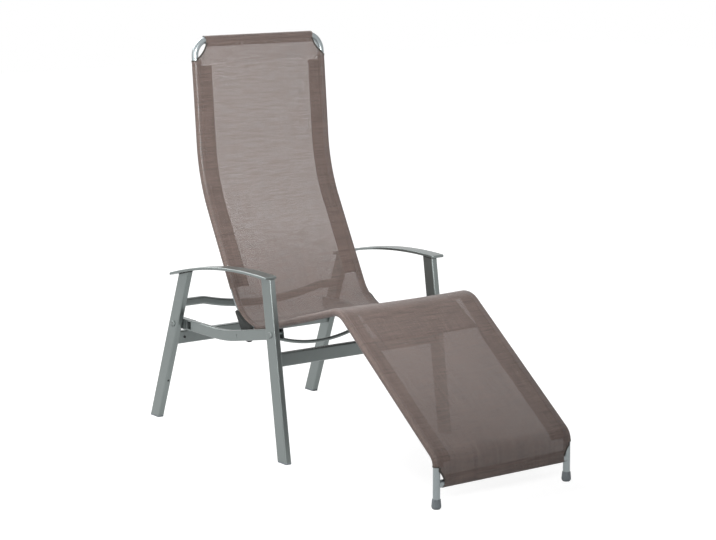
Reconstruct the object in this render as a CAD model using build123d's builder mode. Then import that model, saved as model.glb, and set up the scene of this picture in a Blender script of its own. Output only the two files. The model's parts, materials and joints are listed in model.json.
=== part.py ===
from build123d import *
import math
import os

# A tilting sun lounger: an aluminium stand and a sling shell that rocks on it
# Millimetres; X runs across the chair, -Y is the foot end, +Z is up, z = 0 is the floor
# Every piece of the +X side is the sitter's left; the right one is its mirror image

# Stand
leg_width = 20.0
leg_depth = 45.0
leg_wall = 1.8
leg_corner = 4.0
front_leg_foot_y = -46.0
front_leg_rake = 8.5
rear_leg_foot_y = 654.0
rear_leg_rake = -20.8
foot_plug_flange = 5.5
plug_depth = 22.0
plug_fit = 0.15
plug_top_pad = 3.0

# Armrests
arm_top_height = 537.0
arm_crown_y = 85.0
arm_top_radius = 1540.0
arm_thickness = 7.5
arm_width = 45.0
arm_inset = 2.6
arm_front_overhang = 30.5
arm_rear_overhang = 48.0
arm_corner = 7.0
arm_edge = 2.6
arm_recess_width = 26.0
arm_recess_depth = 2.2
arm_recess_end = 34.0
arm_screw_radius = 2.5
arm_screw_bite = 5.0
arm_screw_length = 26.0
screw_clearance = 0.1

# Side rails
rail_width = 18.0
rail_height = 32.0
rail_wall = 2.0
rail_corner = 4.0
rail_gap = 0.3
rail_rear_height = 313.5
rail_bend_y = 281.0
rail_rise = 10.8
rail_bend_radius = 600.0
rail_front_setback = 8.0
bracket_reach = 50.0
bracket_tongue = 14.0
bracket_window = 20.0
bracket_window_margin = 4.0
bracket_window_depth = 13.0
bracket_groove = 4.0
bracket_ledge = 5.0

# Crossbars
bar_depth = 20.0
bar_height = 40.0
bar_wall = 1.8
bar_corner = 4.0
front_bar_drop = 73.0
rear_bar_drop = 49.5
stop_bar_rise = 68.5
stop_bar_depth = 16.0
stop_bar_section = 24.0
stop_bar_corner = 6.0
stop_bar_flat_margin = 14.0
stop_bar_dip = 50.0
stop_bar_end_radius = 60.0
stop_bar_straight = 18.0
stop_bar_setback = 9.0

# Fasteners of the stand
bolt_radius = 3.0
bolt_head_radius = 6.0
bolt_head = 2.4
cap_radius = 9.5
cap_crown = 4.2
cap_play = 0.2
nut_width = 10.0
nut_height = 5.0
bar_screw_inset = 27.0
bar_screw_radius = 2.6
bar_screw_head_radius = 4.2
bar_screw_head = 2.2
leg_screw_height = 125.0

# Shell frame
shell_half_spacing = 230.0
tube_radius = 10.0
tube_wall = 1.5
head_behind_pivot = 300.0
head_above_pivot = 844.0
head_corner_radius = 50.0
lumbar_behind_pivot = 263.8
lumbar_above_pivot = 431.0
lumbar_radius = 497.0
seat_behind_pivot = 32.4
seat_below_pivot = 0.6
seat_radius = 132.0
knee_before_pivot = 441.0
knee_above_pivot = 138.0
knee_radius = 65.0
ankle_before_pivot = 871.9
ankle_z = 135.0
ankle_radius = 40.0
head_joint = 88.0
spigot_length = 60.0
spigot_fit = 0.1
weld_gap = 0.3
foot_bar_height = 66.0
foot_cap_radius = 13.5
foot_cap_height = 27.0
foot_cap_floor = 4.0
foot_cap_fit = 0.1
foot_cap_wall = 1.6
foot_cap_bulge_height = 8.0
foot_cap_sole_radius = 10.0
foot_cap_edge = 0.8
rod_radius = 5.5
rod_before_pivot = 14.0
rod_drop = 63.0

# Pivot
pivot_y = 210.0
pin_radius = 6.0
pin_fit = 0.04
pin_recess = 0.8
bush_wall = 2.5
bush_flange = 1.5
bush_flange_radius = 12.0
plate_thickness = 5.0
plate_boss_radius = 24.0
plate_tip_radius = 4.0
plate_tip_behind_pivot = 58.0
plate_toe_before_pivot = 18.0
plate_above_axis = 3.0
pivot_gap = 20.0
cover_thickness = 3.0
cover_margin = 2.0
cover_hub_radius = 16.0
running_gap = 0.4
retainer_radius = 9.0
retainer_thickness = 4.0

# Sling
cloth = 1.2
cloth_gap = 0.3
tunnel_start = 61.0
tunnel_past_ankle = 1.2
flap_width = 53.0
seam_inset = 15.0
head_hem_depth = 22.0
foot_hem_depth = 26.0
end_seam = 13.0
top_hem_short = 34.0
foot_hem_short = 17.0
head_cut_radius = 80.0
foot_cut_radius = 80.0
slot_top_above_pivot = 121.0
slot_end_before_pivot = 26.0
slot_inner_share = 0.6
lining_half_width = 165.0
lining_up_thigh = 100.0
lining_down_leg = 131.0

# Values worked out from the sizes above, across the chair from the shell outwards
plate_outer_x = shell_half_spacing + tube_radius + weld_gap + plate_thickness
rail_inner_x = plate_outer_x + pivot_gap
rail_outer_x = rail_inner_x + rail_width
rail_x = rail_inner_x + rail_width / 2
leg_inner_x = rail_outer_x + rail_gap
leg_x = leg_inner_x + leg_width / 2
stand_half_width = leg_inner_x + leg_width
seam_x = shell_half_spacing - seam_inset
arm_x = leg_inner_x - arm_inset + arm_width / 2
arm_centre_z = arm_top_height - arm_top_radius
arm_under_radius = arm_top_radius - arm_thickness
tube_bore = tube_radius - tube_wall
tunnel_radius = tube_radius + cloth_gap
tunnel_outer = tunnel_radius + cloth
overrun = leg_depth


def leg_axis(rake):
    """Direction that a leg climbs in."""
    angle = math.radians(rake)
    return Vector(0, math.sin(angle), math.cos(angle))


def leg_y(foot_y, rake, height):
    """Where a leg's centre line is at a height."""
    return foot_y + height * math.tan(math.radians(rake))


def leg_meets_arm(foot_y, rake, radius):
    """Height at which a leg's centre line meets a circle about the armrest's centre."""
    slope = math.tan(math.radians(rake))
    aside = foot_y - arm_crown_y
    a = 1 + slope**2
    b = 2 * (slope * aside - arm_centre_z)
    c = aside**2 + arm_centre_z**2 - radius**2
    return (-b + math.sqrt(b**2 - 4 * a * c)) / (2 * a)


def corner(before, vertex, after, radius):
    """Centre and start of the round at a corner of a side view."""
    inward = (before - vertex).normalized()
    outward = (after - vertex).normalized()
    half = math.radians(inward.get_angle(outward)) / 2
    centre = vertex + (inward + outward).normalized() * (radius / math.sin(half))
    return centre, vertex + inward * (radius / math.tan(half))


# Side view of the shell's tubes, as points in Y and Z that are set out from the pivot
rise_slope = math.tan(math.radians(rail_rise))
pivot_z = rail_rear_height + (rail_bend_y - pivot_y) * rise_slope
ankle_y = pivot_y - ankle_before_pivot
head = Vector(pivot_y + head_behind_pivot, pivot_z + head_above_pivot)
lumbar = Vector(pivot_y + lumbar_behind_pivot, pivot_z + lumbar_above_pivot)
seat = Vector(pivot_y + seat_behind_pivot, pivot_z - seat_below_pivot)
knee = Vector(pivot_y - knee_before_pivot, pivot_z + knee_above_pivot)
ankle = Vector(ankle_y, ankle_z)
foot = Vector(ankle_y, foot_cap_floor)
back_down = (lumbar - head).normalized()
back_line = (seat - lumbar).normalized()
seat_centre, seat_bend_start = corner(lumbar, seat, knee, seat_radius)
shell_radii = [lumbar_radius, seat_radius, knee_radius, ankle_radius]
joint = head + back_down * head_joint
tunnel_top = head + back_down * tunnel_start
ankle_bend_end = corner(foot, ankle, knee, ankle_radius)[1]
tunnel_foot = ankle_bend_end - Vector(0, tunnel_past_ankle)
rod_y = pivot_y - rod_before_pivot
rod_z = seat_centre.Y - math.sqrt(seat_radius**2 - (rod_y - seat_centre.X) ** 2)
side_view = Plane.YZ
head_plane = Plane(
    origin=(0, head.X, head.Y), x_dir=(1, 0, 0), z_dir=(0, back_down.Y, -back_down.X)
)
foot_plane = Plane(
    origin=(0, ankle_y, foot_bar_height), x_dir=(1, 0, 0), z_dir=(0, -1, 0)
)

os.makedirs("parts", exist_ok=True)


def save(shape, name):
    """Label a piece and write it under its own name."""
    shape.label = name
    export_step(shape, f"parts/{name}.step")


def save_pair(shape, name):
    """Write the sitter's left piece and its mirror image."""
    save(shape, f"left_{name}")
    save(mirror(shape, about=Plane.YZ, mode=Mode.PRIVATE), f"right_{name}")


def section_at(path, across=(1, 0, 0)):
    """Plane square to the start of a path."""
    return Plane(origin=path @ 0, x_dir=across, z_dir=path % 0)


def leg_section(foot_y, rake, height, inset):
    """Level cut through a raked leg, drawn in by an inset."""
    depth = leg_depth / math.cos(math.radians(rake))
    with BuildSketch(Plane.XY.offset(height)) as cut:
        with Locations((leg_x, leg_y(foot_y, rake, height))):
            RectangleRounded(
                leg_width - 2 * inset, depth - 2 * inset, leg_corner - inset / 2
            )
    return cut.sketch


def under_arm(outer, inner=0.0):
    """Side view of all that lies under the armrest's arch, or a ring of it."""
    with BuildSketch(side_view.offset(leg_x)) as region:
        with Locations((arm_crown_y, arm_centre_z)):
            Circle(outer)
            if inner:
                Circle(inner, mode=Mode.SUBTRACT)
    return region.sketch


legs = {
    "front": (front_leg_foot_y, front_leg_rake),
    "rear": (rear_leg_foot_y, rear_leg_rake),
}
pad_radius = arm_under_radius - plug_top_pad
rear_half_depth = leg_depth / 2 / math.cos(math.radians(rear_leg_rake))
rail_rear_y = leg_y(*legs["rear"], rail_rear_height) - rear_half_depth - bracket_reach
front_slope = math.tan(math.radians(front_leg_rake))
rail_level_at_zero = rail_rear_height + rail_bend_y * rise_slope
front_bolt_y = (front_leg_foot_y + front_slope * rail_level_at_zero) / (1 + front_slope * rise_slope)
rail_front_y = front_bolt_y - leg_depth / 2 + rail_front_setback
rail_front_z = rail_level_at_zero - rail_front_y * rise_slope
bolt_places = {
    "front": (front_bolt_y, rail_level_at_zero - front_bolt_y * rise_slope),
    "rear": (leg_y(*legs["rear"], rail_rear_height), rail_rear_height),
}
front_bar_height = bolt_places["front"][1] - front_bar_drop
rear_bar_height = rail_rear_height - rear_bar_drop
stop_bar_height = rail_rear_height + stop_bar_rise
leg_screw_y = leg_y(*legs["rear"], leg_screw_height) - rear_half_depth
leg_screw_place = Plane(
    origin=(leg_x, leg_screw_y, leg_screw_height),
    x_dir=(1, 0, 0),
    z_dir=(
        0,
        -math.cos(math.radians(rear_leg_rake)),
        math.sin(math.radians(rear_leg_rake)),
    ),
)

# Legs: raked rectangular tubes, cut level at the floor and to the arch of the armrest
for end, (foot_y, rake) in legs.items():
    axis = leg_axis(rake)
    top = leg_meets_arm(foot_y, rake, pad_radius)
    screw_base = Vector(leg_x, leg_y(foot_y, rake, top), top)
    bolt_y, bolt_z = bolt_places[end]
    with BuildPart() as leg:
        extrude(
            leg_section(foot_y, rake, foot_plug_flange, 0),
            amount=top + overrun,
            dir=axis,
        )
        extrude(
            leg_section(foot_y, rake, foot_plug_flange, leg_wall),
            amount=top + overrun,
            dir=axis,
            mode=Mode.SUBTRACT,
        )
        extrude(under_arm(pad_radius), amount=leg_width, both=True, mode=Mode.INTERSECT)
        with Locations(Location((leg_x, bolt_y, bolt_z), (0, 90, 0))):
            Cylinder(bolt_radius + screw_clearance, 2 * leg_width, mode=Mode.SUBTRACT)
        if end == "rear":
            with Locations(leg_screw_place):
                Cylinder(
                    bar_screw_radius + screw_clearance,
                    leg_depth / 2,
                    mode=Mode.SUBTRACT,
                )
    save_pair(leg.part, f"{end}_leg")

    # Foot plug: a flange that stands on the floor and a body pushed up the tube
    with BuildPart() as foot_plug:
        extrude(
            leg_section(foot_y, rake, 0, 0),
            amount=foot_plug_flange / axis.Z,
            dir=axis,
        )
        extrude(
            leg_section(foot_y, rake, foot_plug_flange, leg_wall + plug_fit),
            amount=plug_depth,
            dir=axis,
        )
        mirror(about=Plane.YZ)
    save(foot_plug.part, f"{end}_leg_foot_plugs")

    # Top plug: a body in the tube and a pad under the armrest, pierced for its screw
    with BuildPart() as plug_body:
        extrude(
            leg_section(foot_y, rake, top - plug_depth, leg_wall + plug_fit),
            amount=2 * plug_depth,
            dir=axis,
        )
        extrude(under_arm(pad_radius), amount=leg_width, both=True, mode=Mode.INTERSECT)
    with BuildPart() as top_plug:
        extrude(
            leg_section(foot_y, rake, top - plug_depth, plug_fit),
            amount=3 * plug_depth,
            dir=axis,
        )
        extrude(
            under_arm(arm_under_radius, pad_radius),
            amount=leg_width,
            both=True,
            mode=Mode.INTERSECT,
        )
        add(plug_body.part)
        with Locations(Plane(origin=screw_base, z_dir=axis)):
            Cylinder(arm_screw_radius + screw_clearance, 3 * plug_depth, mode=Mode.SUBTRACT)
        head_base = screw_base + axis * (plug_top_pad + arm_screw_bite - arm_screw_length)
        with Locations(Plane(origin=head_base, z_dir=-axis)):
            Cylinder(
                bar_screw_head_radius + screw_clearance,
                plug_depth,
                align=(Align.CENTER, Align.CENTER, Align.MIN),
                mode=Mode.SUBTRACT,
            )
        mirror(about=Plane.YZ)
    save(top_plug.part, f"{end}_leg_top_plugs")

    # Screw that runs up through the top plug into the armrest
    screw_tip = screw_base + axis * (plug_top_pad + arm_screw_bite)
    with BuildPart() as arm_screw:
        with Locations(Plane(origin=screw_tip, z_dir=-axis)):
            Cylinder(
                arm_screw_radius,
                arm_screw_length,
                align=(Align.CENTER, Align.CENTER, Align.MIN),
            )
        with Locations(Plane(origin=head_base, z_dir=-axis)):
            Cylinder(
                bar_screw_head_radius,
                bar_screw_head,
                align=(Align.CENTER, Align.CENTER, Align.MIN),
            )
        mirror(about=Plane.YZ)
    save(arm_screw.part, f"{end}_armrest_screws")

# Armrest: a flat bar bent to one wide arc, with rounded ends and a shallow recess below
arm_ends = {
    "front": leg_y(*legs["front"], leg_meets_arm(*legs["front"], arm_under_radius))
    - arm_front_overhang,
    "rear": leg_y(*legs["rear"], leg_meets_arm(*legs["rear"], arm_under_radius))
    + arm_rear_overhang,
}


def arm_angle(y):
    """Angle about the armrest's centre at which its top passes a place along Y."""
    return math.degrees(math.acos((y - arm_crown_y) / arm_top_radius))


def arm_sector(outer, inner, front_y, rear_y):
    """Side view of a stretch of the arch between two radii."""
    start = arm_angle(rear_y)
    sweep_angle = arm_angle(front_y) - start
    with BuildSketch(side_view.offset(arm_x)) as sector:
        with BuildLine():
            outside = CenterArc((arm_crown_y, arm_centre_z), outer, start, sweep_angle)
            inside = CenterArc((arm_crown_y, arm_centre_z), inner, start, sweep_angle)
            Line(outside @ 0, inside @ 0)
            Line(outside @ 1, inside @ 1)
        make_face()
    return sector.sketch


with BuildPart() as armrest:
    extrude(
        arm_sector(arm_top_radius, arm_under_radius, arm_ends["front"], arm_ends["rear"]),
        amount=arm_width / 2,
        both=True,
    )
    uprights = armrest.edges().filter_by(GeomType.LINE).sort_by(SortBy.LENGTH)[:4]
    fillet(uprights, radius=arm_corner)
    crown = armrest.faces().filter_by(GeomType.CYLINDER).sort_by(SortBy.AREA)[-1]
    fillet(crown.edges(), radius=arm_edge)
    extrude(
        arm_sector(
            arm_under_radius + arm_recess_depth,
            arm_under_radius - arm_recess_depth,
            arm_ends["front"] + arm_front_overhang + arm_recess_end,
            arm_ends["rear"] - arm_rear_overhang - arm_recess_end,
        ),
        amount=arm_recess_width / 2,
        both=True,
        mode=Mode.SUBTRACT,
    )
    for foot_y, rake in legs.values():
        top = leg_meets_arm(foot_y, rake, pad_radius)
        screw_tip = Vector(leg_x, leg_y(foot_y, rake, top), top)
        screw_tip += leg_axis(rake) * (plug_top_pad + arm_screw_bite + screw_clearance)
        with Locations(Plane(origin=screw_tip, z_dir=-leg_axis(rake))):
            Cylinder(
                arm_screw_radius + screw_clearance,
                arm_screw_length,
                align=(Align.CENTER, Align.CENTER, Align.MIN),
                mode=Mode.SUBTRACT,
            )
save_pair(armrest.part, "armrest")

# Side rail: a tube that runs level from the rear and then climbs to the front leg
with BuildPart() as rail:
    with BuildLine(side_view.offset(rail_x)) as rail_path:
        FilletPolyline(
            (rail_rear_y, rail_rear_height),
            (rail_bend_y, rail_rear_height),
            (rail_front_y, rail_front_z),
            radius=rail_bend_radius,
        )
    with BuildSketch(section_at(rail_path.line)):
        RectangleRounded(rail_width, rail_height, rail_corner)
        RectangleRounded(
            rail_width - 2 * rail_wall,
            rail_height - 2 * rail_wall,
            rail_corner - rail_wall,
            mode=Mode.SUBTRACT,
        )
    sweep()
    with Locations(Location((rail_x, pivot_y, pivot_z), (0, 90, 0))):
        Cylinder(pin_radius + pin_fit, 2 * rail_width, mode=Mode.SUBTRACT)
    with Locations(Location((rail_x, *bolt_places["front"]), (0, 90, 0))):
        Cylinder(bolt_radius + screw_clearance, 2 * rail_width, mode=Mode.SUBTRACT)
save_pair(rail.part, "side_rail")

# Rail bracket: a cast block with an open window, bolted to the rear leg
bracket_front_y = rail_rear_y + rail_gap
bracket_rear_y = bolt_places["rear"][0] + bracket_tongue
window_low_z = rail_rear_height - rail_height / 2 + bracket_ledge
window_high_z = rail_rear_height + rail_height / 2 - bracket_window_margin
groove_y = bracket_front_y + bracket_window + 3 * bracket_window_margin
with BuildPart() as bracket:
    with BuildSketch(side_view.offset(rail_outer_x)):
        with Locations(((bracket_front_y + bracket_rear_y) / 2, rail_rear_height)):
            RectangleRounded(bracket_rear_y - bracket_front_y, rail_height, rail_corner)
    extrude(amount=-rail_width)
    with BuildSketch(side_view.offset(rail_outer_x)):
        window_middle_z = (window_low_z + window_high_z) / 2
        with Locations(
            (bracket_front_y + bracket_window_margin + bracket_window / 2, window_middle_z)
        ):
            Rectangle(bracket_window, window_high_z - window_low_z)
        with Locations((groove_y, window_middle_z)):
            Rectangle(bracket_groove, window_high_z - window_low_z)
    extrude(amount=-bracket_window_depth, mode=Mode.SUBTRACT)
    with Locations(Location((rail_x, *bolt_places["rear"]), (0, 90, 0))):
        Cylinder(bolt_radius + screw_clearance, 2 * rail_width, mode=Mode.SUBTRACT)
save_pair(bracket.part, "rail_bracket")


def bar_section(x):
    """Section of a crossbar, square to X."""
    with BuildSketch(side_view.offset(x)) as section:
        RectangleRounded(bar_depth, bar_height, bar_corner)
        RectangleRounded(
            bar_depth - 2 * bar_wall,
            bar_height - 2 * bar_wall,
            bar_corner - bar_wall,
            mode=Mode.SUBTRACT,
        )
    return section.sketch


# Front and rear crossbars: straight tubes welded between the legs
bar_screw_x = leg_inner_x - bar_screw_inset
for name, height, (foot_y, rake) in (
    ("front_crossbar", front_bar_height, legs["front"]),
    ("rear_crossbar", rear_bar_height, legs["rear"]),
):
    bar_y = leg_y(foot_y, rake, height)
    with BuildPart() as bar:
        extrude(
            bar_section(0).moved(Location((0, bar_y, height))),
            amount=leg_inner_x,
            both=True,
        )
        if name == "rear_crossbar":
            with Locations(
                Location((bar_screw_x, bar_y - bar_depth / 2, height), (90, 0, 0)),
                Location((-bar_screw_x, bar_y - bar_depth / 2, height), (90, 0, 0)),
            ):
                Cylinder(
                    bar_screw_radius + screw_clearance,
                    bar_depth / 2,
                    mode=Mode.SUBTRACT,
                )
    save(bar.part, name)

# Stop bar: dips in the middle and has level ends, where the tilted shell comes to rest
stop_bar_y = leg_y(*legs["rear"], stop_bar_height) - stop_bar_setback
stop_bar_half_flat = shell_half_spacing - stop_bar_flat_margin
stop_bar_slope = math.atan2(stop_bar_dip, stop_bar_half_flat)
stop_bar_end_bend = stop_bar_end_radius * math.tan(stop_bar_slope / 2)
stop_bar_bow = math.hypot(stop_bar_dip, stop_bar_half_flat) - stop_bar_end_bend - stop_bar_straight
stop_bar_radius = stop_bar_bow / math.tan(stop_bar_slope)
with BuildPart() as stop_bar:
    stop_plane = Plane(origin=(0, stop_bar_y, stop_bar_height), x_dir=(1, 0, 0), z_dir=(0, -1, 0))
    with BuildLine(stop_plane) as stop_path:
        FilletPolyline(
            (-leg_inner_x, 0),
            (-stop_bar_half_flat, 0),
            (0, -stop_bar_dip),
            (stop_bar_half_flat, 0),
            (leg_inner_x, 0),
            radius=[stop_bar_end_radius, stop_bar_radius, stop_bar_end_radius],
        )
    with BuildSketch(section_at(stop_path.line, across=(0, 1, 0))):
        RectangleRounded(stop_bar_depth, stop_bar_section, stop_bar_corner)
    sweep()
save(stop_bar.part, "stop_bar")

# Bolts that hold the rails, their nuts and the caps over their heads
with BuildPart() as rail_bolts:
    for place in bolt_places.values():
        with Locations(Location((stand_half_width, *place), (0, 90, 0))):
            Cylinder(
                bolt_head_radius, bolt_head, align=(Align.CENTER, Align.CENTER, Align.MIN)
            )
            Cylinder(
                bolt_radius,
                leg_width + rail_gap + rail_width + nut_height,
                align=(Align.CENTER, Align.CENTER, Align.MAX),
            )
    mirror(about=Plane.YZ)
save(rail_bolts.part, "rail_bolts")

with BuildPart() as bolt_caps:
    for place in bolt_places.values():
        with BuildSketch(side_view.offset(stand_half_width)):
            with Locations(place):
                Circle(cap_radius)
        extrude(amount=cap_crown)
    fillet(bolt_caps.faces().sort_by(Axis.X)[-2:].edges(), radius=cap_crown / 2)
    for place in bolt_places.values():
        with Locations(Location((stand_half_width, *place), (0, 90, 0))):
            Cylinder(
                bolt_head_radius + cap_play,
                bolt_head + cap_play,
                align=(Align.CENTER, Align.CENTER, Align.MIN),
                mode=Mode.SUBTRACT,
            )
    mirror(about=Plane.YZ)
save(bolt_caps.part, "bolt_caps")

with BuildPart() as rail_nuts:
    for place in bolt_places.values():
        with BuildSketch(side_view.offset(rail_inner_x)):
            with Locations(place):
                RegularPolygon(nut_width / 2, 6, major_radius=False)
                Circle(bolt_radius + screw_clearance, mode=Mode.SUBTRACT)
        extrude(amount=-nut_height)
    mirror(about=Plane.YZ)
save(rail_nuts.part, "rail_nuts")

# Button screws in the rear crossbar and low on the rear legs
rear_bar_face_y = leg_y(*legs["rear"], rear_bar_height) - bar_depth / 2
with BuildPart() as crossbar_screws:
    with Locations(Location((bar_screw_x, rear_bar_face_y, rear_bar_height), (90, 0, 0))):
        Cylinder(
            bar_screw_head_radius, bar_screw_head, align=(Align.CENTER, Align.CENTER, Align.MIN)
        )
        Cylinder(
            bar_screw_radius, 2 * bar_wall, align=(Align.CENTER, Align.CENTER, Align.MAX)
        )
    with Locations(leg_screw_place):
        Cylinder(
            bar_screw_head_radius, bar_screw_head, align=(Align.CENTER, Align.CENTER, Align.MIN)
        )
        Cylinder(
            bar_screw_radius, 2 * bar_wall, align=(Align.CENTER, Align.CENTER, Align.MAX)
        )
    mirror(about=Plane.YZ)
save(crossbar_screws.part, "button_screws")

# Shell tubes: one bent tube on each side and a bow over the head, plugged together
with BuildPart() as side_tube:
    with BuildLine(side_view.offset(shell_half_spacing)) as side_path:
        FilletPolyline(
            *[(point.X, point.Y) for point in (joint, lumbar, seat, knee, ankle, foot)],
            radius=shell_radii,
        )
    with BuildSketch(section_at(side_path.line)):
        Circle(tube_radius)
        Circle(tube_bore, mode=Mode.SUBTRACT)
    sweep()
save_pair(side_tube.part, "side_tube")

with BuildPart() as head_bow:
    with BuildLine(head_plane) as bow_path:
        FilletPolyline(
            (-shell_half_spacing, -head_joint),
            (-shell_half_spacing, 0),
            (shell_half_spacing, 0),
            (shell_half_spacing, -head_joint),
            radius=head_corner_radius,
        )
    with BuildSketch(section_at(bow_path.line)):
        Circle(tube_radius)
        Circle(tube_bore, mode=Mode.SUBTRACT)
    sweep()
save(head_bow.part, "head_bow")

with BuildPart() as spigots:
    for side in (-1, 1):
        spigot_top = joint - back_down * spigot_length / 2
        spigot_plane = Plane(
            origin=(side * shell_half_spacing, spigot_top.X, spigot_top.Y),
            x_dir=(1, 0, 0),
            z_dir=(0, back_down.X, back_down.Y),
        )
        with BuildSketch(spigot_plane):
            Circle(tube_bore - spigot_fit)
        extrude(amount=spigot_length)
save(spigots.part, "head_spigots")

# Foot bar: saddle-cut between the two feet, inside the sling's lower hem
with BuildPart() as foot_bar:
    with BuildSketch(side_view):
        with Locations((ankle_y, foot_bar_height)):
            Circle(tube_radius)
            Circle(tube_bore, mode=Mode.SUBTRACT)
    extrude(amount=shell_half_spacing, both=True)
    with Locations(
        (-shell_half_spacing, ankle_y, foot_bar_height),
        (shell_half_spacing, ankle_y, foot_bar_height),
    ):
        Cylinder(tube_radius + weld_gap, 4 * tube_radius, mode=Mode.SUBTRACT)
save(foot_bar.part, "foot_bar")

# Seat rod: hangs in a bow under the seat and ties the two tubes together
rod_plane = Plane(origin=(0, rod_y, rod_z), x_dir=(1, 0, 0), z_dir=(0, -1, 0))
rod_end_x = shell_half_spacing - rod_radius / 2
rod_end_z = -tube_radius
with BuildPart() as seat_rod:
    with BuildLine(rod_plane) as rod_path:
        ThreePointArc(
            (-rod_end_x, rod_end_z), (0, rod_end_z - rod_drop), (rod_end_x, rod_end_z)
        )
    with BuildSketch(section_at(rod_path.line, across=(0, 1, 0))):
        Circle(rod_radius)
    sweep()
    for side in (-1, 1):
        with BuildSketch(
            Plane(
                origin=(side * shell_half_spacing, seat_centre.X, seat_centre.Y),
                x_dir=(0, 0, 1),
                z_dir=(0, -1, 0),
            )
        ):
            with Locations((-seat_radius, 0)):
                Circle(tube_radius + weld_gap)
        revolve(
            axis=Axis((side * shell_half_spacing, seat_centre.X, seat_centre.Y), (1, 0, 0)),
            mode=Mode.SUBTRACT,
        )
save(seat_rod.part, "seat_rod")

# Foot caps: turned cups that flare towards the floor and round in to the sole
cap_rim = tube_radius + foot_cap_fit + foot_cap_wall
with BuildPart() as foot_cap:
    with BuildSketch(Plane.XZ):
        with BuildLine():
            Polyline((0, foot_cap_height), (0, 0), (foot_cap_sole_radius, 0))
            TangentArc(
                (foot_cap_radius, foot_cap_bulge_height), (foot_cap_sole_radius, 0), tangent=(0, -1)
            )
            Line((foot_cap_radius, foot_cap_bulge_height), (cap_rim, foot_cap_height))
            Line((cap_rim, foot_cap_height), (0, foot_cap_height))
        make_face()
    revolve(axis=Axis.Z)
    fillet(foot_cap.faces().sort_by(Axis.Z)[-1].edges(), radius=foot_cap_edge)
with BuildPart() as placed_cap:
    with Locations((shell_half_spacing, ankle_y, 0)):
        add(foot_cap.part)
    with Locations((shell_half_spacing, ankle_y, foot_cap_floor)):
        Cylinder(
            tube_radius + foot_cap_fit,
            foot_cap_height,
            align=(Align.CENTER, Align.CENTER, Align.MIN),
            mode=Mode.SUBTRACT,
        )
save_pair(placed_cap.part, "foot_cap")

# Pivot plate: welded to the outer flank of the tube, with a round boss at the pivot
bush_radius = pin_radius + pin_fit + bush_wall


def on_bend(y, offset):
    """Point below the seat bend at a place along Y, an offset outside the tube's centre."""
    drop = math.sqrt(seat_radius**2 - (y - seat_centre.X) ** 2)
    below = Vector(y, seat_centre.Y - drop) - seat_centre
    return seat_centre + below.normalized() * (seat_radius + offset)


def plate_outline(x, margin):
    """Side view of the pivot plate: boss, tip and toe under one hull, hollowed by the tube."""
    tip = on_bend(pivot_y + plate_tip_behind_pivot, plate_tip_radius)
    toe = on_bend(pivot_y - plate_toe_before_pivot, plate_tip_radius)
    with BuildSketch(side_view.offset(x)) as outline:
        with Locations((pivot_y, pivot_z)):
            Circle(plate_boss_radius - margin)
        with Locations((tip.X, tip.Y), (toe.X, toe.Y)):
            Circle(plate_tip_radius - margin)
        make_hull()
        with Locations((seat_centre.X, seat_centre.Y)):
            Circle(seat_radius - plate_above_axis + margin, mode=Mode.SUBTRACT)
    return outline.sketch


with BuildPart() as pivot_plate:
    extrude(plate_outline(plate_outer_x, 0), amount=-plate_thickness)
    with Locations(Location((plate_outer_x, pivot_y, pivot_z), (0, 90, 0))):
        Cylinder(bush_radius + pin_fit, 2 * rail_width, mode=Mode.SUBTRACT)
save_pair(pivot_plate.part, "pivot_plate")

# Pivot cover: a black skin over the plate with a hub that reaches out to the rail
cover_inner_x = plate_outer_x + weld_gap
flange_outer_x = rail_inner_x - running_gap
hub_outer_x = flange_outer_x - bush_flange - pin_fit
with BuildPart() as pivot_cover:
    extrude(plate_outline(cover_inner_x, cover_margin), amount=cover_thickness)
    with BuildSketch(side_view.offset(cover_inner_x)):
        with Locations((pivot_y, pivot_z)):
            Circle(cover_hub_radius)
    extrude(amount=hub_outer_x - cover_inner_x)
    with Locations(Location((cover_inner_x, pivot_y, pivot_z), (0, 90, 0))):
        Cylinder(bush_radius + pin_fit, 2 * rail_width, mode=Mode.SUBTRACT)
save_pair(pivot_cover.part, "pivot_cover")

# Pivot bush: a flanged sleeve through the plate and the cover
with BuildPart() as pivot_bush:
    with BuildSketch(side_view.offset(flange_outer_x)):
        with Locations((pivot_y, pivot_z)):
            Circle(bush_flange_radius)
    extrude(amount=-bush_flange)
    with BuildSketch(side_view.offset(flange_outer_x - bush_flange)):
        with Locations((pivot_y, pivot_z)):
            Circle(bush_radius)
    extrude(amount=-(flange_outer_x - bush_flange - plate_outer_x + plate_thickness))
    with Locations(Location((flange_outer_x, pivot_y, pivot_z), (0, 90, 0))):
        Cylinder(pin_radius + pin_fit, 4 * rail_width, mode=Mode.SUBTRACT)
save_pair(pivot_bush.part, "pivot_bush")

# Pivot pin: fixed through the rail, with a retainer inside the plate
retainer_outer_x = plate_outer_x - plate_thickness - running_gap
pin_inner_x = retainer_outer_x - retainer_thickness
with BuildPart() as pivot_pin:
    with BuildSketch(side_view.offset(pin_inner_x)):
        with Locations((pivot_y, pivot_z)):
            Circle(pin_radius)
    extrude(amount=rail_outer_x - pin_recess - pin_inner_x)
save_pair(pivot_pin.part, "pivot_pin")

with BuildPart() as pin_retainers:
    with BuildSketch(side_view.offset(pin_inner_x)):
        with Locations((pivot_y, pivot_z)):
            Circle(retainer_radius)
            Circle(pin_radius + pin_fit, mode=Mode.SUBTRACT)
    extrude(amount=retainer_thickness)
    mirror(about=Plane.YZ)
save(pin_retainers.part, "pin_retainers")


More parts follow.
